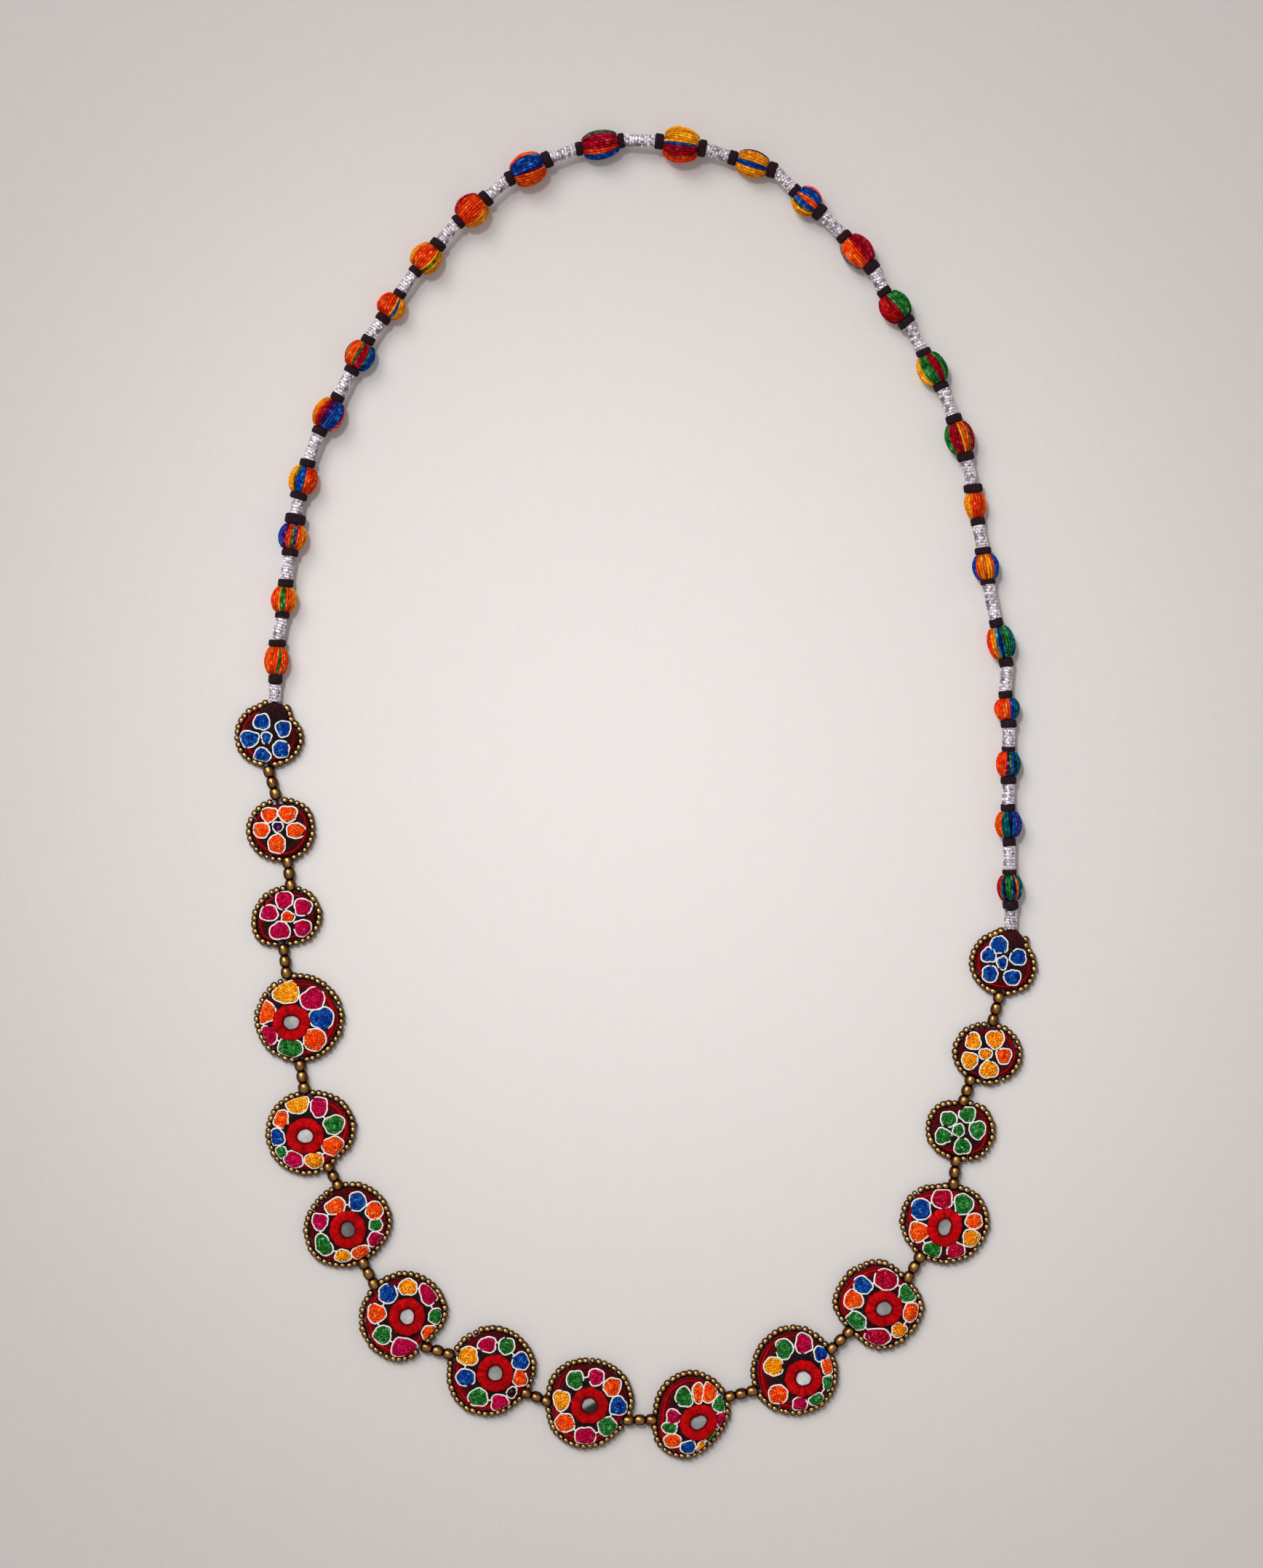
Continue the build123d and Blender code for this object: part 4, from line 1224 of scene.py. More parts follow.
def mirror_ring(disc, rng, red, inner_radius, outer_radius):
    """Ring of stitches laid over a mirror's edge, as a closed band round the mirror.

    Its section is an arch from the low inner lip to the outer foot. Slanting ridges, a cosine of
    the angle plus a turn that grows with the radius, are the single stitches, and two dips
    between rows of them run round in bell curves of the width.
    """
    spot = mirror_middles[disc.number]
    look = mirror_shapes_and_reflections[disc.number]
    rows, top_columns = 198, 12
    stitches = 36
    angle = full_turn(rows)
    sway = 1 + (look.stretch - 1) / 2 * np.cos(2 * (angle - np.radians(look.turn)))
    sway += wave(rng, 0.03, 3, angle) + 0.02 * np.sin(6 * angle)
    inner = inner_radius * sway
    outer = outer_radius * (1 + 0.35 * (sway - 1))
    outer = outer + wave(rng, 0.10, 9, angle) + 0.07 * np.sin(16 * angle)
    top = np.linspace(0, 1, top_columns)
    under = np.array([1.0, 0.7, 0.3, 0.03])
    arch = np.sin(np.pi * (0.12 + 0.80 * top)) ** 0.8
    lean = np.where(top < 0.55, 3.2 * top, 3.5 - 3.2 * top)
    slant = np.cos(stitches * angle[:, None] + lean + 0.7 * np.sin(3 * angle[:, None]))
    dips = -0.16 * bell(top, 0.52, 0.07) - 0.08 * bell(top, 0.80, 0.06)
    foot, rise, ridge, inner_lip = 5.05, 1.0, 0.085, 4.80
    height = foot + rise * arch + ridge * slant * np.sin(np.pi * top) ** 0.4 + dips
    height[:, 0] = inner_lip
    height += wave(rng, 0.06, 4, angle)[:, None]
    under_height = np.broadcast_to(np.array([4.2, 4.3, 4.4, 4.6]), (rows, len(under)))
    across = np.concatenate([top, under])
    radius = inner[:, None] + (outer - inner)[:, None] * across
    points = np.empty((1, rows, len(across), 3))
    points[0, ..., :2] = around(spot[0], spot[1], radius, angle[:, None])
    points[0, ..., 2] = np.concatenate([height, under_height], axis=1)
    # Painted shade: the rows under the ring are dark.
    shade = np.full(radius.shape, 0.35)
    streak = np.interp(angle, np.linspace(0, TURN, 40), rng.normal(0, 0.16, 40))
    # Painted shade on the arch's slopes: darker on the inner slope towards the mirror and at the
    # outer foot.
    depth = 0.50 + 0.52 * smooth_step(top, 0.05, 0.50) - 0.36 * smooth_step(top, 0.82, 1.0)
    # Painted light and shade on the stitches: lighter on the slanting ridges, darker in the dips
    # between rows. The streaks are a random brightness along the ring.
    shade[:, :top_columns] = depth * (0.92 + 0.12 * slant + 1.3 * dips + streak[:, None])
    # Painted shade at the inner lip, against the mirror.
    shade[:, :2] *= 0.5
    colour = linear(red) * np.clip(shade, 0.25, 1.3)[..., None]
    lay = thread_lay(points, radius, angle[:, None] * 4.5, disc.number)
    return skin(points, closed_path=True), colour.reshape(-1, 3), lay.reshape(-1, 3)


def mirror_glass(disc):
    """Thin round mirror, a flat closed lens. Its grey, a painted reflection, fades towards one
    side by a smooth step.
    """
    look = mirror_shapes_and_reflections[disc.number]
    columns = 36
    shares = np.array([0.1, 0.97, 1.0, 1.0, 0.97, 0.75, 0.6, 0.5, 0.4, 0.3, 0.2, 0.1])
    heights = np.array([0.0, 0.0, 0.12, 0.62, 0.78, 0.80, 0.80, 0.80, 0.81, 0.81, 0.81, 0.81])
    offsets = np.empty((1, len(shares), columns, 3))
    offsets[0, ..., :2] = around(0, 0, mirror_radius * shares[:, None], full_turn(columns))
    offsets[0, ..., 2] = heights[:, None] - 0.4
    side = np.radians(look.side)
    towards = offsets[..., 0] * np.cos(side) + offsets[..., 1] * np.sin(side)
    # Painted reflection: the mirror's grey, darker towards one side.
    tone = look.tone + look.fade * (0.5 - smooth_step(towards, -0.9, 0.9))
    dye = linear(np.clip(tone, 0.1, 1.0))[..., None] * np.array([1.0, 0.99, 0.98])
    return skin(offsets + mirror_middles[disc.number]), spread_values(dye)


def edging_spots(outline, rng, pitch, width):
    """Places and travel directions of the seed beads round a disc.

    They run along the cloth's outline moved out by half a bead. Where the string or a cloth hump
    passes they stop, and each arc between two stops is shared out evenly, with small jitters.
    """
    disc = outline.disc
    hump = humps.get(disc.number)
    angles = full_turn(1440)
    radius = outline.radius(angles) + width * 0.46
    if hump is not None:
        bearing = np.arctan2(hump.y - disc.y, hump.x - disc.x)
        facing = np.cos(angles - bearing) > 0.6
        radius = np.where(facing, np.minimum(radius, bead_limit), radius)
    curve = around(disc.x, disc.y, radius, angles)
    free = np.ones(len(curve), dtype=bool)
    if hump is not None:
        free &= distance(curve, hump.x, hump.y) > neck_clearance
    end_room, side_room = 0.9, 1.55
    for spacer in spacers:
        offsets = curve - spacer.centre[:2]
        lengthwise = offsets @ spacer.travel[:2]
        sideways = np.abs(offsets @ np.array([spacer.travel[1], -spacer.travel[0]]))
        past_end = np.abs(lengthwise) > spacer.length / 2 + end_room
        free &= past_end | (sideways > side_room)
    first = int(np.argmin(free))
    curve = np.roll(curve, -first, axis=0)
    free = np.roll(free, -first)
    lengths = curve_lengths(curve)[1][:-1]
    starts = np.flatnonzero(free & ~np.roll(free, 1))
    ends = np.flatnonzero(free & ~np.roll(free, -1))
    rows = []
    for start, end in zip(starts, ends):
        reach = lengths[end] - lengths[start]
        count = int(round(reach / pitch))
        stations = lengths[start] + (np.arange(count) + 0.5) * reach / max(count, 1)
        rows.append(stations + rng.normal(0, 0.09, count))
    stations = np.concatenate(rows)
    places = curve_points(stations, lengths, curve)
    directions = unit(curve_points(stations + 0.3, lengths, curve) - places)
    return places + rng.normal(0, 0.07, places.shape), directions


def seed_beads(outline, rng, pitch, width):
    """Seed beads: rounded barrels of five rings and two fans, each turned about its thread."""
    spots, directions = edging_spots(outline, rng, pitch, width)
    count = len(spots)
    height = seed_height + rng.normal(0, 0.09, count)
    centre = np.concatenate([spots, height[:, None]], axis=1)
    travel = np.concatenate([directions, rng.normal(0, 0.10, (count, 1))], axis=1)
    travel[:, :2] += rng.normal(0, 0.12, (count, 2))
    travel = unit(travel)
    right, up = side_and_up(travel)
    girth = rng.normal(1.0, 0.06, count)
    half = width * 0.45 * girth * rng.normal(1.0, 0.06, count)
    path = stations_along(centre, travel, half, np.array([-1.0, -0.7, 0.0, 0.7, 1.0]))
    radii = width / 2 * girth[:, None] * np.array([0.50, 0.86, 1.0, 0.86, 0.50])
    return skin(tube_rings(path, radii, 9, right[:, None], up[:, None]))


def wound_bead(place, winding, rng, dyes, yarn_width):
    """Yarn-wound bead: an egg turned about the string, with its strands as ridges.

    The radius swells from the ends to the belly by a power of a half sine. A strand is a ridge,
    the root of a half cosine across it, with small waves along it for its plies, and the strands
    turn slowly about the bead along its length. A strand takes the dye of the winding at the sine
    of its angle from the top, more or less deeply in flecks along it, a power of its colour. Its
    dye is darkened as painted shade in the grooves between strands, more in some places than in
    others, lightened as painted highlight on the plies, and darkened as painted shade towards the
    bead's two ends.
    """
    strands = int(round(TURN * place.radius / yarn_width))
    per_strand = 5
    rows, columns = 30, strands * per_strand
    shoulder, fullness = 0.55, 0.64
    core_inset, ridge_height, ply_height, ply_length, allowance = 0.22, 0.42, 0.05, 1.25, 0.12
    along = np.linspace(0, 1, rows)
    rising = along / place.belly / 2
    falling = 0.5 + (along - place.belly) / (1 - place.belly) / 2
    folded = np.where(along < place.belly, rising, falling)
    swell = shoulder + (1 - shoulder) * np.sin(np.pi * folded) ** fullness
    angle = full_turn(columns)
    twist = rng.normal(0, 0.16)
    wander = wave(rng, 0.035, 7, angle)
    turned = angle + (along[:, None] - 0.5) * (twist + 4 * wander)
    across = (np.arange(columns) % per_strand) / per_strand - 0.5
    ridge = np.clip(np.cos(across * np.pi), 0, 1) ** 0.6
    strand = np.arange(columns) // per_strand
    proud = rng.normal(0, 0.05, strands)[strand]
    lumps = 0.07 * np.sin(along[:, None] * 9 + rng.uniform(0, TURN, strands)[strand])
    phases = rng.uniform(0, TURN, strands)[strand]
    ply = np.sin(along[:, None] * place.length / ply_length * TURN + across * TURN * 0.9 + phases)
    relief = ridge_height * (ridge - 0.6) + proud + lumps * 0.5
    radius = (place.radius - core_inset) * swell[:, None] + relief
    radius = np.minimum(radius + ply_height * ply * ridge, place.radius + allowance)
    right, up = side_and_up(place.travel)
    path = place.centre + place.travel * ((along - 0.5) * place.length)[:, None]
    direction = np.cos(turned)[..., None] * up + np.sin(turned)[..., None] * right
    points = path[:, None] + radius[..., None] * direction
    side = np.sin((strand + 0.5) / strands * TURN) + rng.normal(0, 0.02, strands)[strand]
    order = np.searchsorted(np.array(winding.edges), side)
    palette = linear(np.array([dyes[name] for name in winding.dyes.split()]))
    tint = np.clip(rng.normal(1.02, 0.14, strands), 0.6, 1.4)[strand]
    # Painted shade in the grooves between strands, deeper in some places than in others.
    painted_seam_shade = 0.36 + 0.30 * np.sin(along[:, None] * 8 + rng.uniform(0, TURN, strands)[strand])
    # Each strand is lighter on its crest and its ply twists than in the grooves: painted light and
    # shade. The tint is each strand's own colour.
    shade = (painted_seam_shade + (1.04 - painted_seam_shade) * ridge) * tint * (1 + 0.10 * ply)
    # Painted shade towards the bead's two ends, by the collars.
    ends = 0.70 + 0.30 * np.sin(np.pi * along) ** 0.5
    knots = rng.normal(0, 1, (int(place.length / 0.7) + 3, strands))
    station = along[:, None] * (len(knots) - 3) + rng.uniform(0, 1, strands)[strand]
    lower = station.astype(int)
    rest = station - lower
    fleck = knots[lower, strand] * (1 - rest) + knots[lower + 1, strand] * rest
    soak = np.clip(1.04 + 0.26 * fleck, 0.5, 1.8)[..., None]
    shade = shade * ends[:, None] * np.exp(-0.12 * fleck)
    colour = palette[order] ** soak * shade[..., None]
    lengthwise = (along * place.length * 1.25)[:, None]
    lay = thread_lay(points, lengthwise, strand * 3 + across * yarn_width, strand * 0.37)
    return skin(points[None]), spread_values(colour[None]), spread_values(lay[None])


def wrapped_collar(centre, travel, width, length, rng):
    """Collar of wound dark thread: a short barrel, its turns a low cosine along its length."""
    rows, columns = 15, 24
    along = np.linspace(-1, 1, rows)
    angle = full_turn(columns)
    barrel = width / 2 * (1 - 0.26 * np.abs(along) ** 7)
    turns = 0.055 * np.cos(along * length * 4.2 + rng.uniform(0, TURN))
    wander = wave(rng, 0.05, 2, angle) + rng.normal(0, 0.018, (rows, columns))
    radii = barrel[:, None] + turns[:, None] + wander
    slant = wave(rng, 0.10, 1, angle)[:, None] * travel
    return skin(straight_tube(centre, travel, along * length / 2, radii) + slant)


def wound_sleeve(place, rng, pitch):
    """Sleeve of wound foil: a tube of flat bands with a narrow groove between two turns.

    The distance from the groove runs along the tube and slants round it by one pitch a turn. A
    groove is a bell curve of that distance, and the dye is darkened in it as painted shade. Each
    band is creased into blocks, each given its own brightness as a painted reflection, with a dark
    nick between two of them, laid like bricks. On the side that faces into the loop some of the
    blocks are tarnished.
    """
    rows, columns = int(place.length / pitch * 7) + 3, 36
    block_columns = 4
    groove_width, groove_depth = 0.13, 0.16
    along = np.linspace(-0.5, 0.5, rows) * place.length
    angle = full_turn(columns)
    phase = along[:, None] / pitch + angle / TURN + rng.uniform(0, 1)
    phase = phase + wave(rng, 0.06, 3, angle)
    turn = np.floor(phase).astype(int)
    turn = turn - turn.min()
    share = phase % 1.0
    groove = bell(np.minimum(share, 1 - share) * pitch, 0, groove_width)
    brick = (np.arange(columns)[None, :] + 2 * turn) % columns
    block = brick // block_columns
    nick = (brick % block_columns == 0) * (np.abs(share - 0.5) < 0.42)
    blocks = (turn.max() + 1, columns // block_columns)
    crease = rng.normal(0, 1, blocks)[turn, block]
    bands = 0.08 * (0.5 - share) + 0.025 * crease
    radius = sleeve_girth * place.radius - groove_depth * groove + bands
    inward = smooth_step(np.sin(angle), 0.25, 0.65)
    tarnish = inward * (rng.uniform(0, 1, blocks)[turn, block] < 0.45)
    # Painted shade in the grooves and a painted reflection of its own brightness on each creased
    # block, then tarnish and the dark nicks.
    painted_light_and_tarnish = (1 - 0.70 * groove) * (1.08 + 0.24 * crease)
    painted_light_and_tarnish = painted_light_and_tarnish * (1 - 0.60 * tarnish) * (1 - 0.60 * nick)
    dye = np.clip(painted_light_and_tarnish, 0.10, 1.25)[..., None] * np.array([1.0, 0.94, 0.98])
    rings = straight_tube(place.centre, place.travel, along, radius)
    return skin(rings), spread_values(dye[None])


def brass_barrel(place, rng):
    """Squat cast bead: a barrel with a small lip at each end, slightly out of round."""
    rows, columns = 12, 18
    along = np.linspace(-1, 1, rows)
    angle = full_turn(columns)
    profile = 0.46 + 0.54 * np.sqrt(np.clip(1 - along**2 * 0.98, 0, 1)) ** 0.9
    lips = 0.03 * bell(np.abs(along), 0.94, 0.08)
    dents = wave(rng, 0.02, 3, angle) + wave(rng, 0.012, 7, angle)
    girth = rng.normal(barrel_girth, 0.03)
    radii = place.radius * (profile + lips)[:, None] * (1 + dents) * girth
    return skin(straight_tube(place.centre, place.travel, along * place.length / 2, radii))


# Sizes and colours.


def dye_property(label, description, colour):
    """Property for a dye, as a display colour."""
    limits = {"size": 3, "min": 0, "max": 1, "default": colour}
    return bpy.props.FloatVectorProperty(
        name=label, description=description, subtype="COLOR_GAMMA", **limits
    )


def size_property(label, description, millimetres):
    """Property for a length, stored in metres."""
    metres = millimetres * MM
    return bpy.props.FloatProperty(
        name=label, description=description, unit="LENGTH", min=0, default=metres, precision=5
    )


def power_property(label, description, watts):
    """Property for the power of a light."""
    return bpy.props.FloatProperty(
        name=label, description=description, unit="POWER", default=watts
    )


class NecklaceDyes(bpy.types.PropertyGroup):
    """Dyes of the threads and yarns."""

    amber: dye_property("Amber", "Golden orange yarn and thread", (1.0, 0.59, 0.08))
    orange: dye_property("Orange", "Deep orange yarn and thread", (1.0, 0.325, 0.06))
    flame: dye_property("Flame", "Red orange yarn and thread", (0.97, 0.25, 0.05))
    red: dye_property("Red", "Bright red yarn", (0.78, 0.06, 0.06))
    crimson: dye_property("Crimson", "Dark red yarn", (0.66, 0.03, 0.12))
    magenta: dye_property("Magenta", "Purplish pink thread", (0.76, 0.02, 0.26))
    ruby: dye_property("Ruby", "Deep red pink thread", (0.715, 0.03, 0.185))
    pink: dye_property("Pink", "Bright pink thread", (0.785, 0.03, 0.285))
    purple: dye_property("Purple", "Violet yarn", (0.32, 0.12, 0.42))
    plum: dye_property("Plum", "Very dark purple yarn and thread", (0.22, 0.05, 0.20))
    blue: dye_property("Blue", "Strong blue yarn and thread", (0.06, 0.275, 0.62))
    navy: dye_property("Navy", "Dark blue yarn", (0.06, 0.10, 0.30))
    cyan: dye_property("Cyan", "Light blue yarn", (0.10, 0.50, 0.75))
    teal: dye_property("Teal", "Green blue yarn", (0.05, 0.40, 0.42))
    green: dye_property("Green", "Leaf green yarn and thread", (0.17, 0.48, 0.195))
    olive: dye_property("Olive", "Dull yellow green yarn", (0.40, 0.38, 0.10))
    yellow: dye_property("Yellow", "Warm yellow yarn and thread", (1.0, 0.625, 0.075))
    brown: dye_property("Brown", "Faded patches of the string", (0.25, 0.08, 0.06))
    slate: dye_property("Slate", "Grey blue yarn and stray fibres", (0.40, 0.45, 0.55))
    white: dye_property("White", "Thread round the petals", (1.0, 0.99, 0.97))
    maroon: dye_property("Maroon", "Dark ground rings on the cloth", (0.36, 0.015, 0.05))
    crimson_ring: dye_property("Crimson ring", "Bright ground rings", (0.80, 0.02, 0.06))
    ring_red: dye_property("Ring red", "Stitches round the mirrors", (0.80, 0.02, 0.05))
    black: dye_property("Black", "Ground of the cloth and the string", (0.075, 0.055, 0.06))
    soot: dye_property("Soot", "Thread of the collars", (0.15, 0.09, 0.115))
    umber: dye_property("Umber", "Faded patches of the dark cloth", (0.15, 0.085, 0.08))


class NecklaceMetals(bpy.types.PropertyGroup):
    """Colours of the beads' brass, bright on its tops from rubbing and painted highlight and dark
    on its sides from tarnish and painted shade, and of the foil, clean and tarnished.
    """

    # Brass tops are rubbed metal with a painted highlight. Bodies and dark sides are tarnish with
    # painted shade.
    brass: dye_property("Brass", "Rubbed tops of the brass beads", (0.77, 0.61, 0.37))
    brass_body: dye_property("Brass body", "Slopes of the brass beads", (0.40, 0.20, 0.05))
    seed: dye_property("Seed brass", "Rubbed tops of the seed beads", (0.90, 0.74, 0.50))
    seed_body: dye_property("Seed body", "Slopes of the seed beads", (0.50, 0.31, 0.13))
    brass_dark: dye_property("Dark brass", "Tarnished sides of all beads", (0.11, 0.04, 0.015))
    foil: dye_property("Foil", "Clean silver foil", (0.98, 0.96, 0.98))
    foil_dark: dye_property("Dark foil", "Tarnished silver foil", (0.58, 0.51, 0.55))


class NecklaceSizes(bpy.types.PropertyGroup):
    """Sizes of the threads and the small beads."""

    stitch_length: size_property("Stitch length", "Length of a petal's chain stitch", 1.60)
    stitch_width: size_property("Stitch width", "Width of a petal's chain stitch", 0.94)
    stitch_pitch: size_property("Stitch pitch", "Distance between rows of stitches", 0.76)
    edge_width: size_property("Edge width", "Width of the white thread round a petal", 0.60)
    ring_inner: size_property("Ring inner radius", "Radius of a mirror's opening", 2.40)
    ring_outer: size_property("Ring outer radius", "Outer radius of a mirror's ring", 6.35)
    seed_width: size_property("Seed width", "Width of a seed bead", 2.42)
    seed_pitch: size_property("Seed pitch", "Distance between seed beads", 2.15)
    yarn_width: size_property("Yarn width", "Width of a strand of yarn", 1.05)
    foil_pitch: size_property("Foil pitch", "Distance between turns of the foil", 1.04)
    scatter: bpy.props.IntProperty(
        name="Scatter", description="Seed of the small irregularities", default=7, min=0
    )


class NecklaceStage(bpy.types.PropertyGroup):
    """Floor, light and camera."""

    floor: dye_property("Floor", "Colour of the floor", (0.872, 0.846, 0.838))
    camera_height: size_property("Camera height", "Height of the camera over the floor", 1604.0)
    key_power: power_property("Key power", "Power of the large soft light", 182.0)
    pool_power: power_property("Pool power", "Power of the light on the middle", 71.0)


def dye_table(scene):
    """Dyes by name, as display colours."""
    dyes = scene.necklace_dyes
    return {name: tuple(getattr(dyes, name)) for name in dyes.__annotations__}


def size(scene, name):
    """One of the necklace's sizes, in millimetres."""
    return getattr(scene.necklace_sizes, name) / MM


def scatter(scene, number):
    """Generator of a piece's own small irregularities, the same on each run."""
    return np.random.default_rng([scene.necklace_sizes.scatter, number])


def on_discs(scene, first, make, *settings):
    """What a function makes on each disc, with a generator for each from a first number up."""
    return [
        make(outline, scatter(scene, first + number), *settings)
        for number, outline in outlines.items()
    ]


# One operator for each piece or group of like pieces.


class NECKLACE_OT_cloth_discs(bpy.types.Operator):
    """Make the sixteen stuffed cloth discs"""

    bl_idname = "necklace.cloth_discs"
    bl_label = "Cloth Discs"

    def execute(self, context):
        scene = context.scene
        dyes = dye_table(scene)
        material = cloth_material("dark cloth", None, dyes["umber"], dyes["slate"])
        for number, outline in outlines.items():
            name = f"cloth_disc_{number:02d}"
            nodes = [f"disc_{number:02d}"]
            shape, dye = cloth_disc(outline, scatter(scene, number), dyes)
            disc = make_piece(name, material, "embroidered_cloth", nodes, shape, dye)
        return {"FINISHED"}


class NECKLACE_OT_petals(bpy.types.Operator):
    """Fill the petals of the flowers with chain stitches"""

    bl_idname = "necklace.petals"
    bl_label = "Petal Stitches"

    def execute(self, context):
        scene = context.scene
        dyes = dye_table(scene)
        pitch = size(scene, "stitch_pitch")
        spindle = size(scene, "stitch_length"), size(scene, "stitch_width")
        material = thread_material("petal thread", 0.75, 0.0, 1.8)
        for kind in ("large", "small"):
            results = []
            for number, outline in outlines.items():
                if outline.disc.size != kind:
                    continue
                rng = scatter(scene, 100 + number)
                stitches = petal_stitches(outline, rng, dyes, pitch)
                results.append(petal_pads(outline, dyes))
                results.append(stitch_shapes(outline, stitches, *spindle, rng))
            make_piece(f"petals_{kind}", material, "embroidered_cloth", [], *gather(results))
        return {"FINISHED"}


class NECKLACE_OT_petal_edges(bpy.types.Operator):
    """Lay the white threads round the petals"""

    bl_idname = "necklace.petal_edges"
    bl_label = "Petal Edges"

    def execute(self, context):
        scene = context.scene
        width = size(scene, "edge_width")
        white = dye_table(scene)["white"]
        material = thread_material("white thread", 0.6, 0.3, 2.2, 0.12)
        results = on_discs(scene, 200, petal_edges, white, width)
        make_piece("petal_edges", material, "embroidered_cloth", [], *gather(results))
        return {"FINISHED"}


class NECKLACE_OT_ground_rings(bpy.types.Operator):
    """Couch the dark red rings inside the discs' edges"""

    bl_idname = "necklace.ground_rings"
    bl_label = "Ground Rings"

    def execute(self, context):
        scene = context.scene
        dyes = dye_table(scene)
        material = thread_material("ground thread", 0.8, 0.0, 1.8)
        results = on_discs(scene, 300, ground_rings, dyes)
        make_piece("ground_rings", material, "embroidered_cloth", [], *gather(results))
        return {"FINISHED"}


class NECKLACE_OT_mirrors(bpy.types.Operator):
    """Make the ten small mirrors"""

    bl_idname = "necklace.mirrors"
    bl_label = "Mirrors"

    def execute(self, context):
        results = [mirror_glass(disc) for disc in discs if disc.number in mirror_middles]
        material = mirror_material("clouded mirror")
        make_piece("mirror_glass", material, "mirror_glass", ["mirrors"], *gather(results))
        return {"FINISHED"}


class NECKLACE_OT_mirror_rings(bpy.types.Operator):
    """Stitch the red rings that hold the mirrors"""

    bl_idname = "necklace.mirror_rings"
    bl_label = "Mirror Rings"

    def execute(self, context):
        scene = context.scene
        radii = size(scene, "ring_inner"), size(scene, "ring_outer")
        red = dye_table(scene)["ring_red"]
        material = thread_material("ring thread", 0.72, 0.0, 1.8)
        results = [
            mirror_ring(disc, scatter(scene, 400 + disc.number), red, *radii)
            for disc in discs
            if disc.number in mirror_middles
        ]
        nodes = ["mirror_rings"]
        make_piece("mirror_ring_stitches", material, "ring_thread", nodes, *gather(results))
        return {"FINISHED"}


class NECKLACE_OT_seed_beads(bpy.types.Operator):
    """Thread the brass seed beads round the discs"""

    bl_idname = "necklace.seed_beads"
    bl_label = "Seed Beads"

    def execute(self, context):
        scene = context.scene
        metals = scene.necklace_metals
        pitch, width = size(scene, "seed_pitch"), size(scene, "seed_width")
        shades = (metals.seed, metals.seed_body, metals.brass_dark)
        material = worn_and_shaded_metal_material("seed bead brass", *shades, 0.34, 900.0)
        shapes = on_discs(scene, 500, seed_beads, pitch, width)
        make_piece("seed_beads", material, "seed_beads", ["seed_edging"], joined(shapes))
        return {"FINISHED"}


class NECKLACE_OT_yarn_beads(bpy.types.Operator):
    """Wind the twenty-five yarn beads"""

    bl_idname = "necklace.yarn_beads"
    bl_label = "Yarn Beads"

    def execute(self, context):
        scene = context.scene
        dyes = dye_table(scene)
        yarn_width = size(scene, "yarn_width")
        material = thread_material("bead yarn", 0.8, 0.0, 1.4)
        for number, (place, winding) in enumerate(zip(beads, windings), start=1):
            name = f"wound_bead_{number:02d}"
            nodes = [f"yarn_bead_{number:02d}"]
            result = wound_bead(place, winding, scatter(scene, 700 + number), dyes, yarn_width)
            make_piece(name, material, "wound_yarn", nodes, *result)
        return {"FINISHED"}


class NECKLACE_OT_collars(bpy.types.Operator):
    """Wind the dark collars at the ends of the yarn beads"""

    bl_idname = "necklace.collars"
    bl_label = "Collars"

    def execute(self, context):
        scene = context.scene
        dyes = dye_table(scene)
        material = cloth_material("collar thread", dyes["soot"], dyes["umber"], dyes["slate"])
        shapes = []
        for number, (place, pair) in enumerate(zip(beads, collar_pairs), start=1):
            rng = scatter(scene, 800 + number)
            travel = place.travel
            start = place.centre - travel * (place.length / 2 + pair.length / 2)
            end = place.centre + travel * (place.length / 2 + pair.end_length / 2)
            shapes.append(wrapped_collar(start, travel, pair.width, pair.length, rng))
            shapes.append(wrapped_collar(end, travel, pair.end_width, pair.end_length, rng))
        make_piece("thread_collars", material, "collar_cloth", ["black_collars"], joined(shapes))
        return {"FINISHED"}


class NECKLACE_OT_sleeves(bpy.types.Operator):
    """Wind the silver foil sleeves"""

    bl_idname = "necklace.sleeves"
    bl_label = "Foil Sleeves"

    def execute(self, context):
        scene = context.scene
        metals = scene.necklace_metals
        pitch = size(scene, "foil_pitch")
        material = foil_material("wound foil", metals.foil, metals.foil_dark)
        results = [
            wound_sleeve(place, scatter(scene, 900 + number), pitch)
            for number, place in enumerate(sleeves, start=1)
        ]
        make_piece("foil_sleeves", material, "silver_foil", ["silver_sleeves"], *gather(results))
        return {"FINISHED"}


class NECKLACE_OT_brass_beads(bpy.types.Operator):
    """Make the brass beads between the discs"""

    bl_idname = "necklace.brass_beads"
    bl_label = "Brass Beads"

    def execute(self, context):
        scene = context.scene
        metals = scene.necklace_metals
        shades = (metals.brass, metals.brass_body, metals.brass_dark)
        material = worn_and_shaded_metal_material("spacer brass", *shades, 0.32, 650.0)
        rng = scatter(scene, 1000)
        shape = joined([brass_barrel(place, rng) for place in spacers])
        nodes = ["brass_spacers_right", "brass_spacers_bottom", "brass_spacers_left"]
        make_piece("brass_beads", material, "brass_beads", nodes, shape)
        return {"FINISHED"}


class NECKLACE_OT_string(bpy.types.Operator):
    """Give the stringing thread its finish"""

    bl_idname = "necklace.string"
    bl_label = "String"

    def execute(self, context):
        scene = context.scene
        dyes = dye_table(scene)
        material = cloth_material("string", dyes["black"], dyes["brown"], dyes["slate"])
        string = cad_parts["stringing_thread"]
        string.data.materials.clear()
        string.data.materials.append(material)
        return {"FINISHED"}


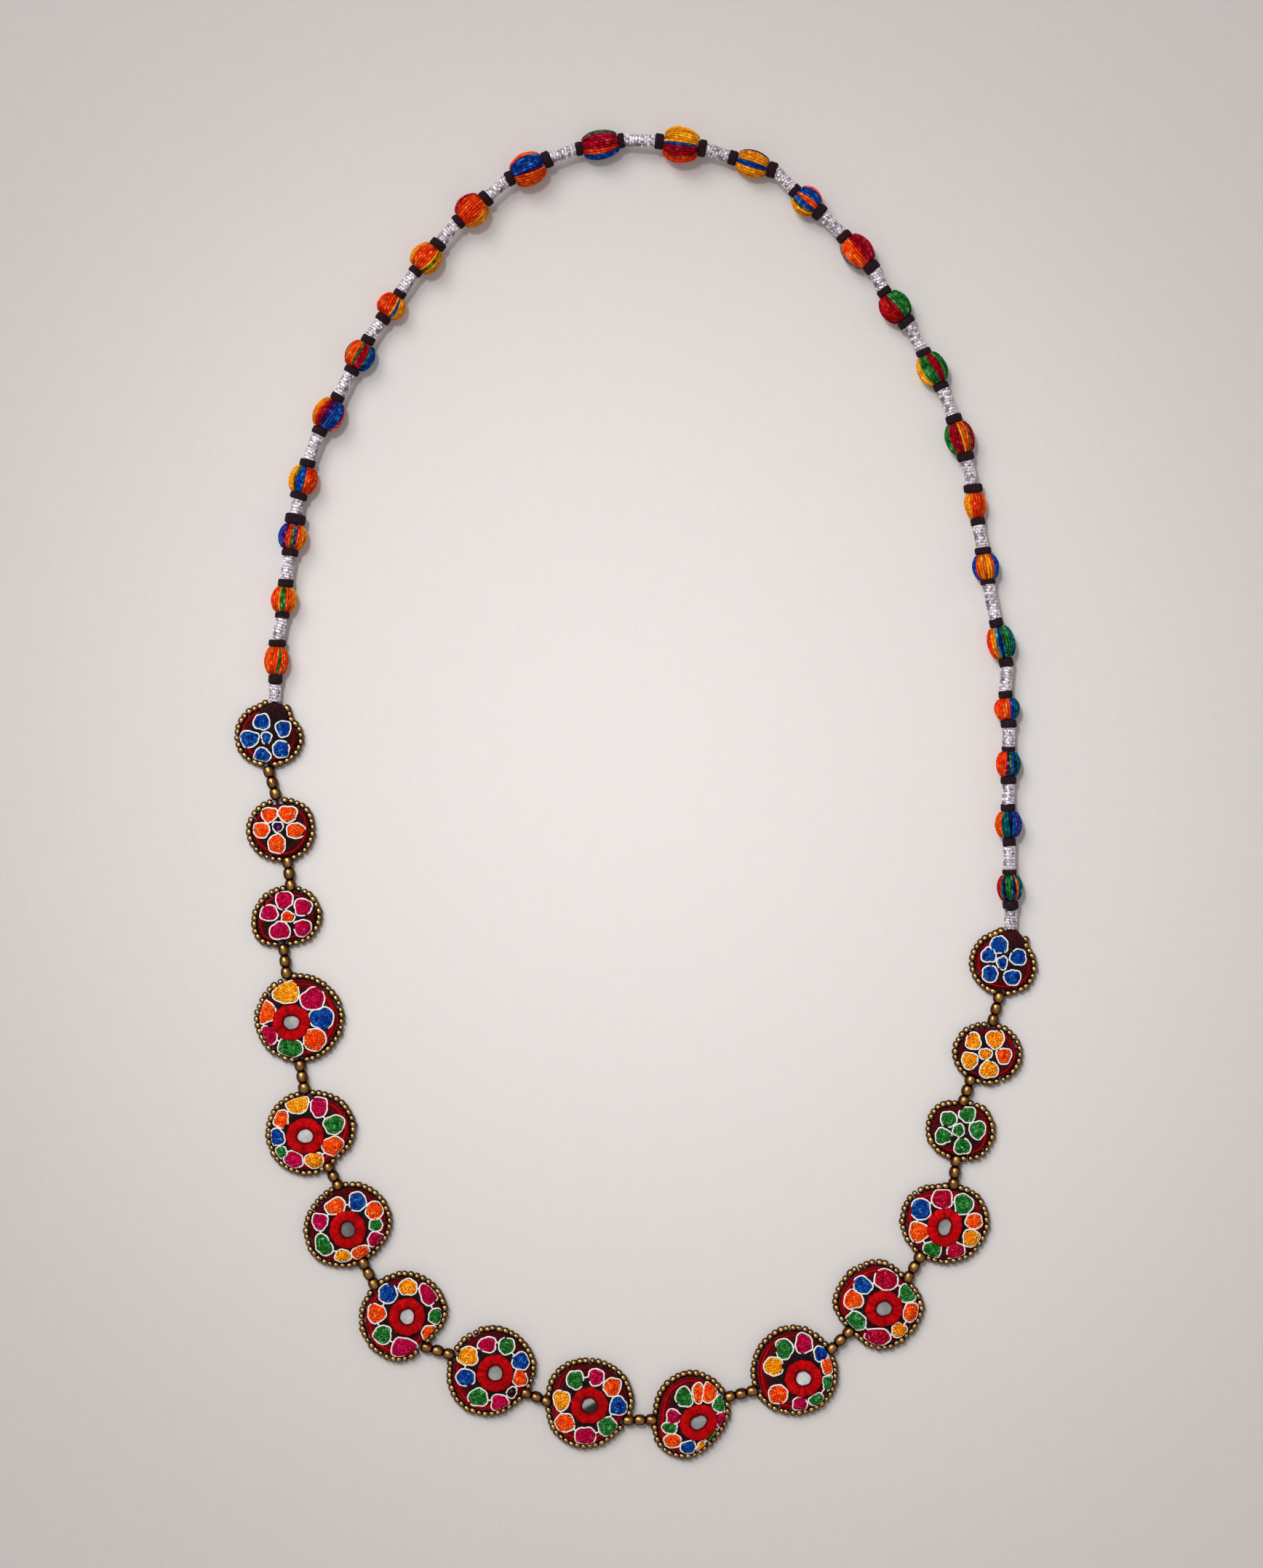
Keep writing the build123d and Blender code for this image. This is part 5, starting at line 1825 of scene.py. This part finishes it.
class NECKLACE_OT_stage(bpy.types.Operator):
    """Make the floor, the lights and the camera"""

    bl_idname = "necklace.stage"
    bl_label = "Stage"

    def execute(self, context):
        scene = context.scene
        look = scene.necklace_stage
        self.add_floor(scene, look.floor)
        self.add_key(scene, look.key_power)
        self.add_pool(scene, look.pool_power)
        world = bpy.data.worlds.new("studio")
        world.use_nodes = True
        background = world.node_tree.nodes["Background"]
        settle(background, Color=(1.0, 0.98, 0.96, 1.0), Strength=0.40)
        scene.world = world
        scene.view_settings.view_transform = "Standard"
        self.add_camera(scene, look.camera_height)
        return {"FINISHED"}

    def add_floor(self, scene, floor_colour):
        """Floor of pale cloth, whose threads run faintly both ways."""
        material, tree, shader = new_material("pale floor")
        colour = linear(tuple(floor_colour))
        for stretch in ((0.12, 1.0, 1.0), (1.0, 0.12, 1.0)):
            weave = add_node(tree, "ShaderNodeMapping", Scale=stretch)
            tree.links.new(object_coordinates(tree), weave.inputs["Vector"])
            place = weave.outputs["Vector"]
            threads = add_patches(tree, place, 800.0, 2.0, (0.3, 0.992), (0.7, 1.008))
            colour = multiplied(tree, colour, threads)
        tree.links.new(colour, shader.inputs["Base Color"])
        settle(shader, Roughness=0.9, Specular_IOR_Level=0.2)
        far, under = 4.0, -0.0002
        corners = [(x * far, y * far, under) for x, y in ((-1, -1), (1, -1), (1, 1), (-1, 1))]
        mesh = bpy.data.meshes.new("floor")
        mesh.from_pydata(corners, [], [(0, 1, 2, 3)])
        mesh.materials.append(material)
        floor = bpy.data.objects.new("floor", mesh)
        scene.collection.objects.link(floor)

    def add_key(self, scene, power):
        """Soft light from beyond the top left corner."""
        light = bpy.data.lights.new("key", "AREA")
        light.shape = "SQUARE"
        light.size = 3.0
        light.energy = power
        light.color = (1.0, 0.985, 0.965)
        self.aim(scene, light, (-2.53, 3.48, 4.75))

    def add_pool(self, scene, power):
        """Two soft spots that fade from the middle of the loop to the corners."""
        for name, degrees, share in (("wide pool", 22, 0.6), ("narrow pool", 12, 0.4)):
            light = bpy.data.lights.new(name, "SPOT")
            light.spot_size = np.radians(degrees)
            light.spot_blend = 1.0
            light.shadow_soft_size = 0.12
            light.energy = power * share
            light.color = (0.94, 0.985, 1.0)
            self.aim(scene, light, (-0.35, 0.6, 1.65))

    def aim(self, scene, light, place):
        """Put a light at a place and turn it to the middle of the loop."""
        lamp = bpy.data.objects.new(light.name, light)
        lamp.location = place
        lamp.rotation_euler = (-lamp.location).to_track_quat("-Z", "Y").to_euler()
        scene.collection.objects.link(lamp)

    def add_camera(self, scene, height):
        """Camera straight over the loop. The image's long side shows a length at a height."""
        shown_length, shown_height = 0.53875, 0.004
        data = bpy.data.cameras.new("camera")
        data.lens = data.sensor_width * (height - shown_height) / shown_length
        data.clip_start = 0.05
        data.clip_end = 10.0
        camera = bpy.data.objects.new("camera", data)
        camera.location = (-0.0016, 0.0035, height)
        scene.collection.objects.link(camera)
        scene.camera = camera


operators = (
    NECKLACE_OT_cloth_discs,
    NECKLACE_OT_ground_rings,
    NECKLACE_OT_petals,
    NECKLACE_OT_petal_edges,
    NECKLACE_OT_mirrors,
    NECKLACE_OT_mirror_rings,
    NECKLACE_OT_seed_beads,
    NECKLACE_OT_yarn_beads,
    NECKLACE_OT_collars,
    NECKLACE_OT_sleeves,
    NECKLACE_OT_brass_beads,
    NECKLACE_OT_string,
    NECKLACE_OT_stage,
)


class NECKLACE_PT_pieces(bpy.types.Panel):
    """Sidebar panel with the necklace's pieces, sizes and dyes"""

    bl_idname = "NECKLACE_PT_pieces"
    bl_label = "Embroidered Necklace"
    bl_space_type = "VIEW_3D"
    bl_region_type = "UI"
    bl_category = "Necklace"

    def draw(self, context):
        layout = self.layout
        for operator in operators:
            layout.operator(operator.bl_idname)
        for group in groups:
            settings = getattr(context.scene, group)
            box = layout.box()
            for name in settings.__annotations__:
                box.prop(settings, name)


groups = {
    "necklace_sizes": NecklaceSizes,
    "necklace_dyes": NecklaceDyes,
    "necklace_metals": NecklaceMetals,
    "necklace_stage": NecklaceStage,
}


def register():
    """Register the property groups, the operators and the panel."""
    for name, group in groups.items():
        bpy.utils.register_class(group)
        setattr(bpy.types.Scene, name, bpy.props.PointerProperty(type=group))
    for operator in operators:
        bpy.utils.register_class(operator)
    bpy.utils.register_class(NECKLACE_PT_pieces)


def unregister():
    """Take everything away again that register() added."""
    bpy.utils.unregister_class(NECKLACE_PT_pieces)
    for operator in reversed(operators):
        bpy.utils.unregister_class(operator)
    for name, group in groups.items():
        delattr(bpy.types.Scene, name)
        bpy.utils.unregister_class(group)


def main():
    """Make the whole necklace and its stage."""
    register()
    bpy.ops.necklace.cloth_discs()
    bpy.ops.necklace.ground_rings()
    bpy.ops.necklace.petals()
    bpy.ops.necklace.petal_edges()
    bpy.ops.necklace.mirrors()
    bpy.ops.necklace.mirror_rings()
    bpy.ops.necklace.seed_beads()
    bpy.ops.necklace.yarn_beads()
    bpy.ops.necklace.collars()
    bpy.ops.necklace.sleeves()
    bpy.ops.necklace.brass_beads()
    bpy.ops.necklace.string()
    bpy.ops.necklace.stage()


if __name__ == "__main__":
    main()
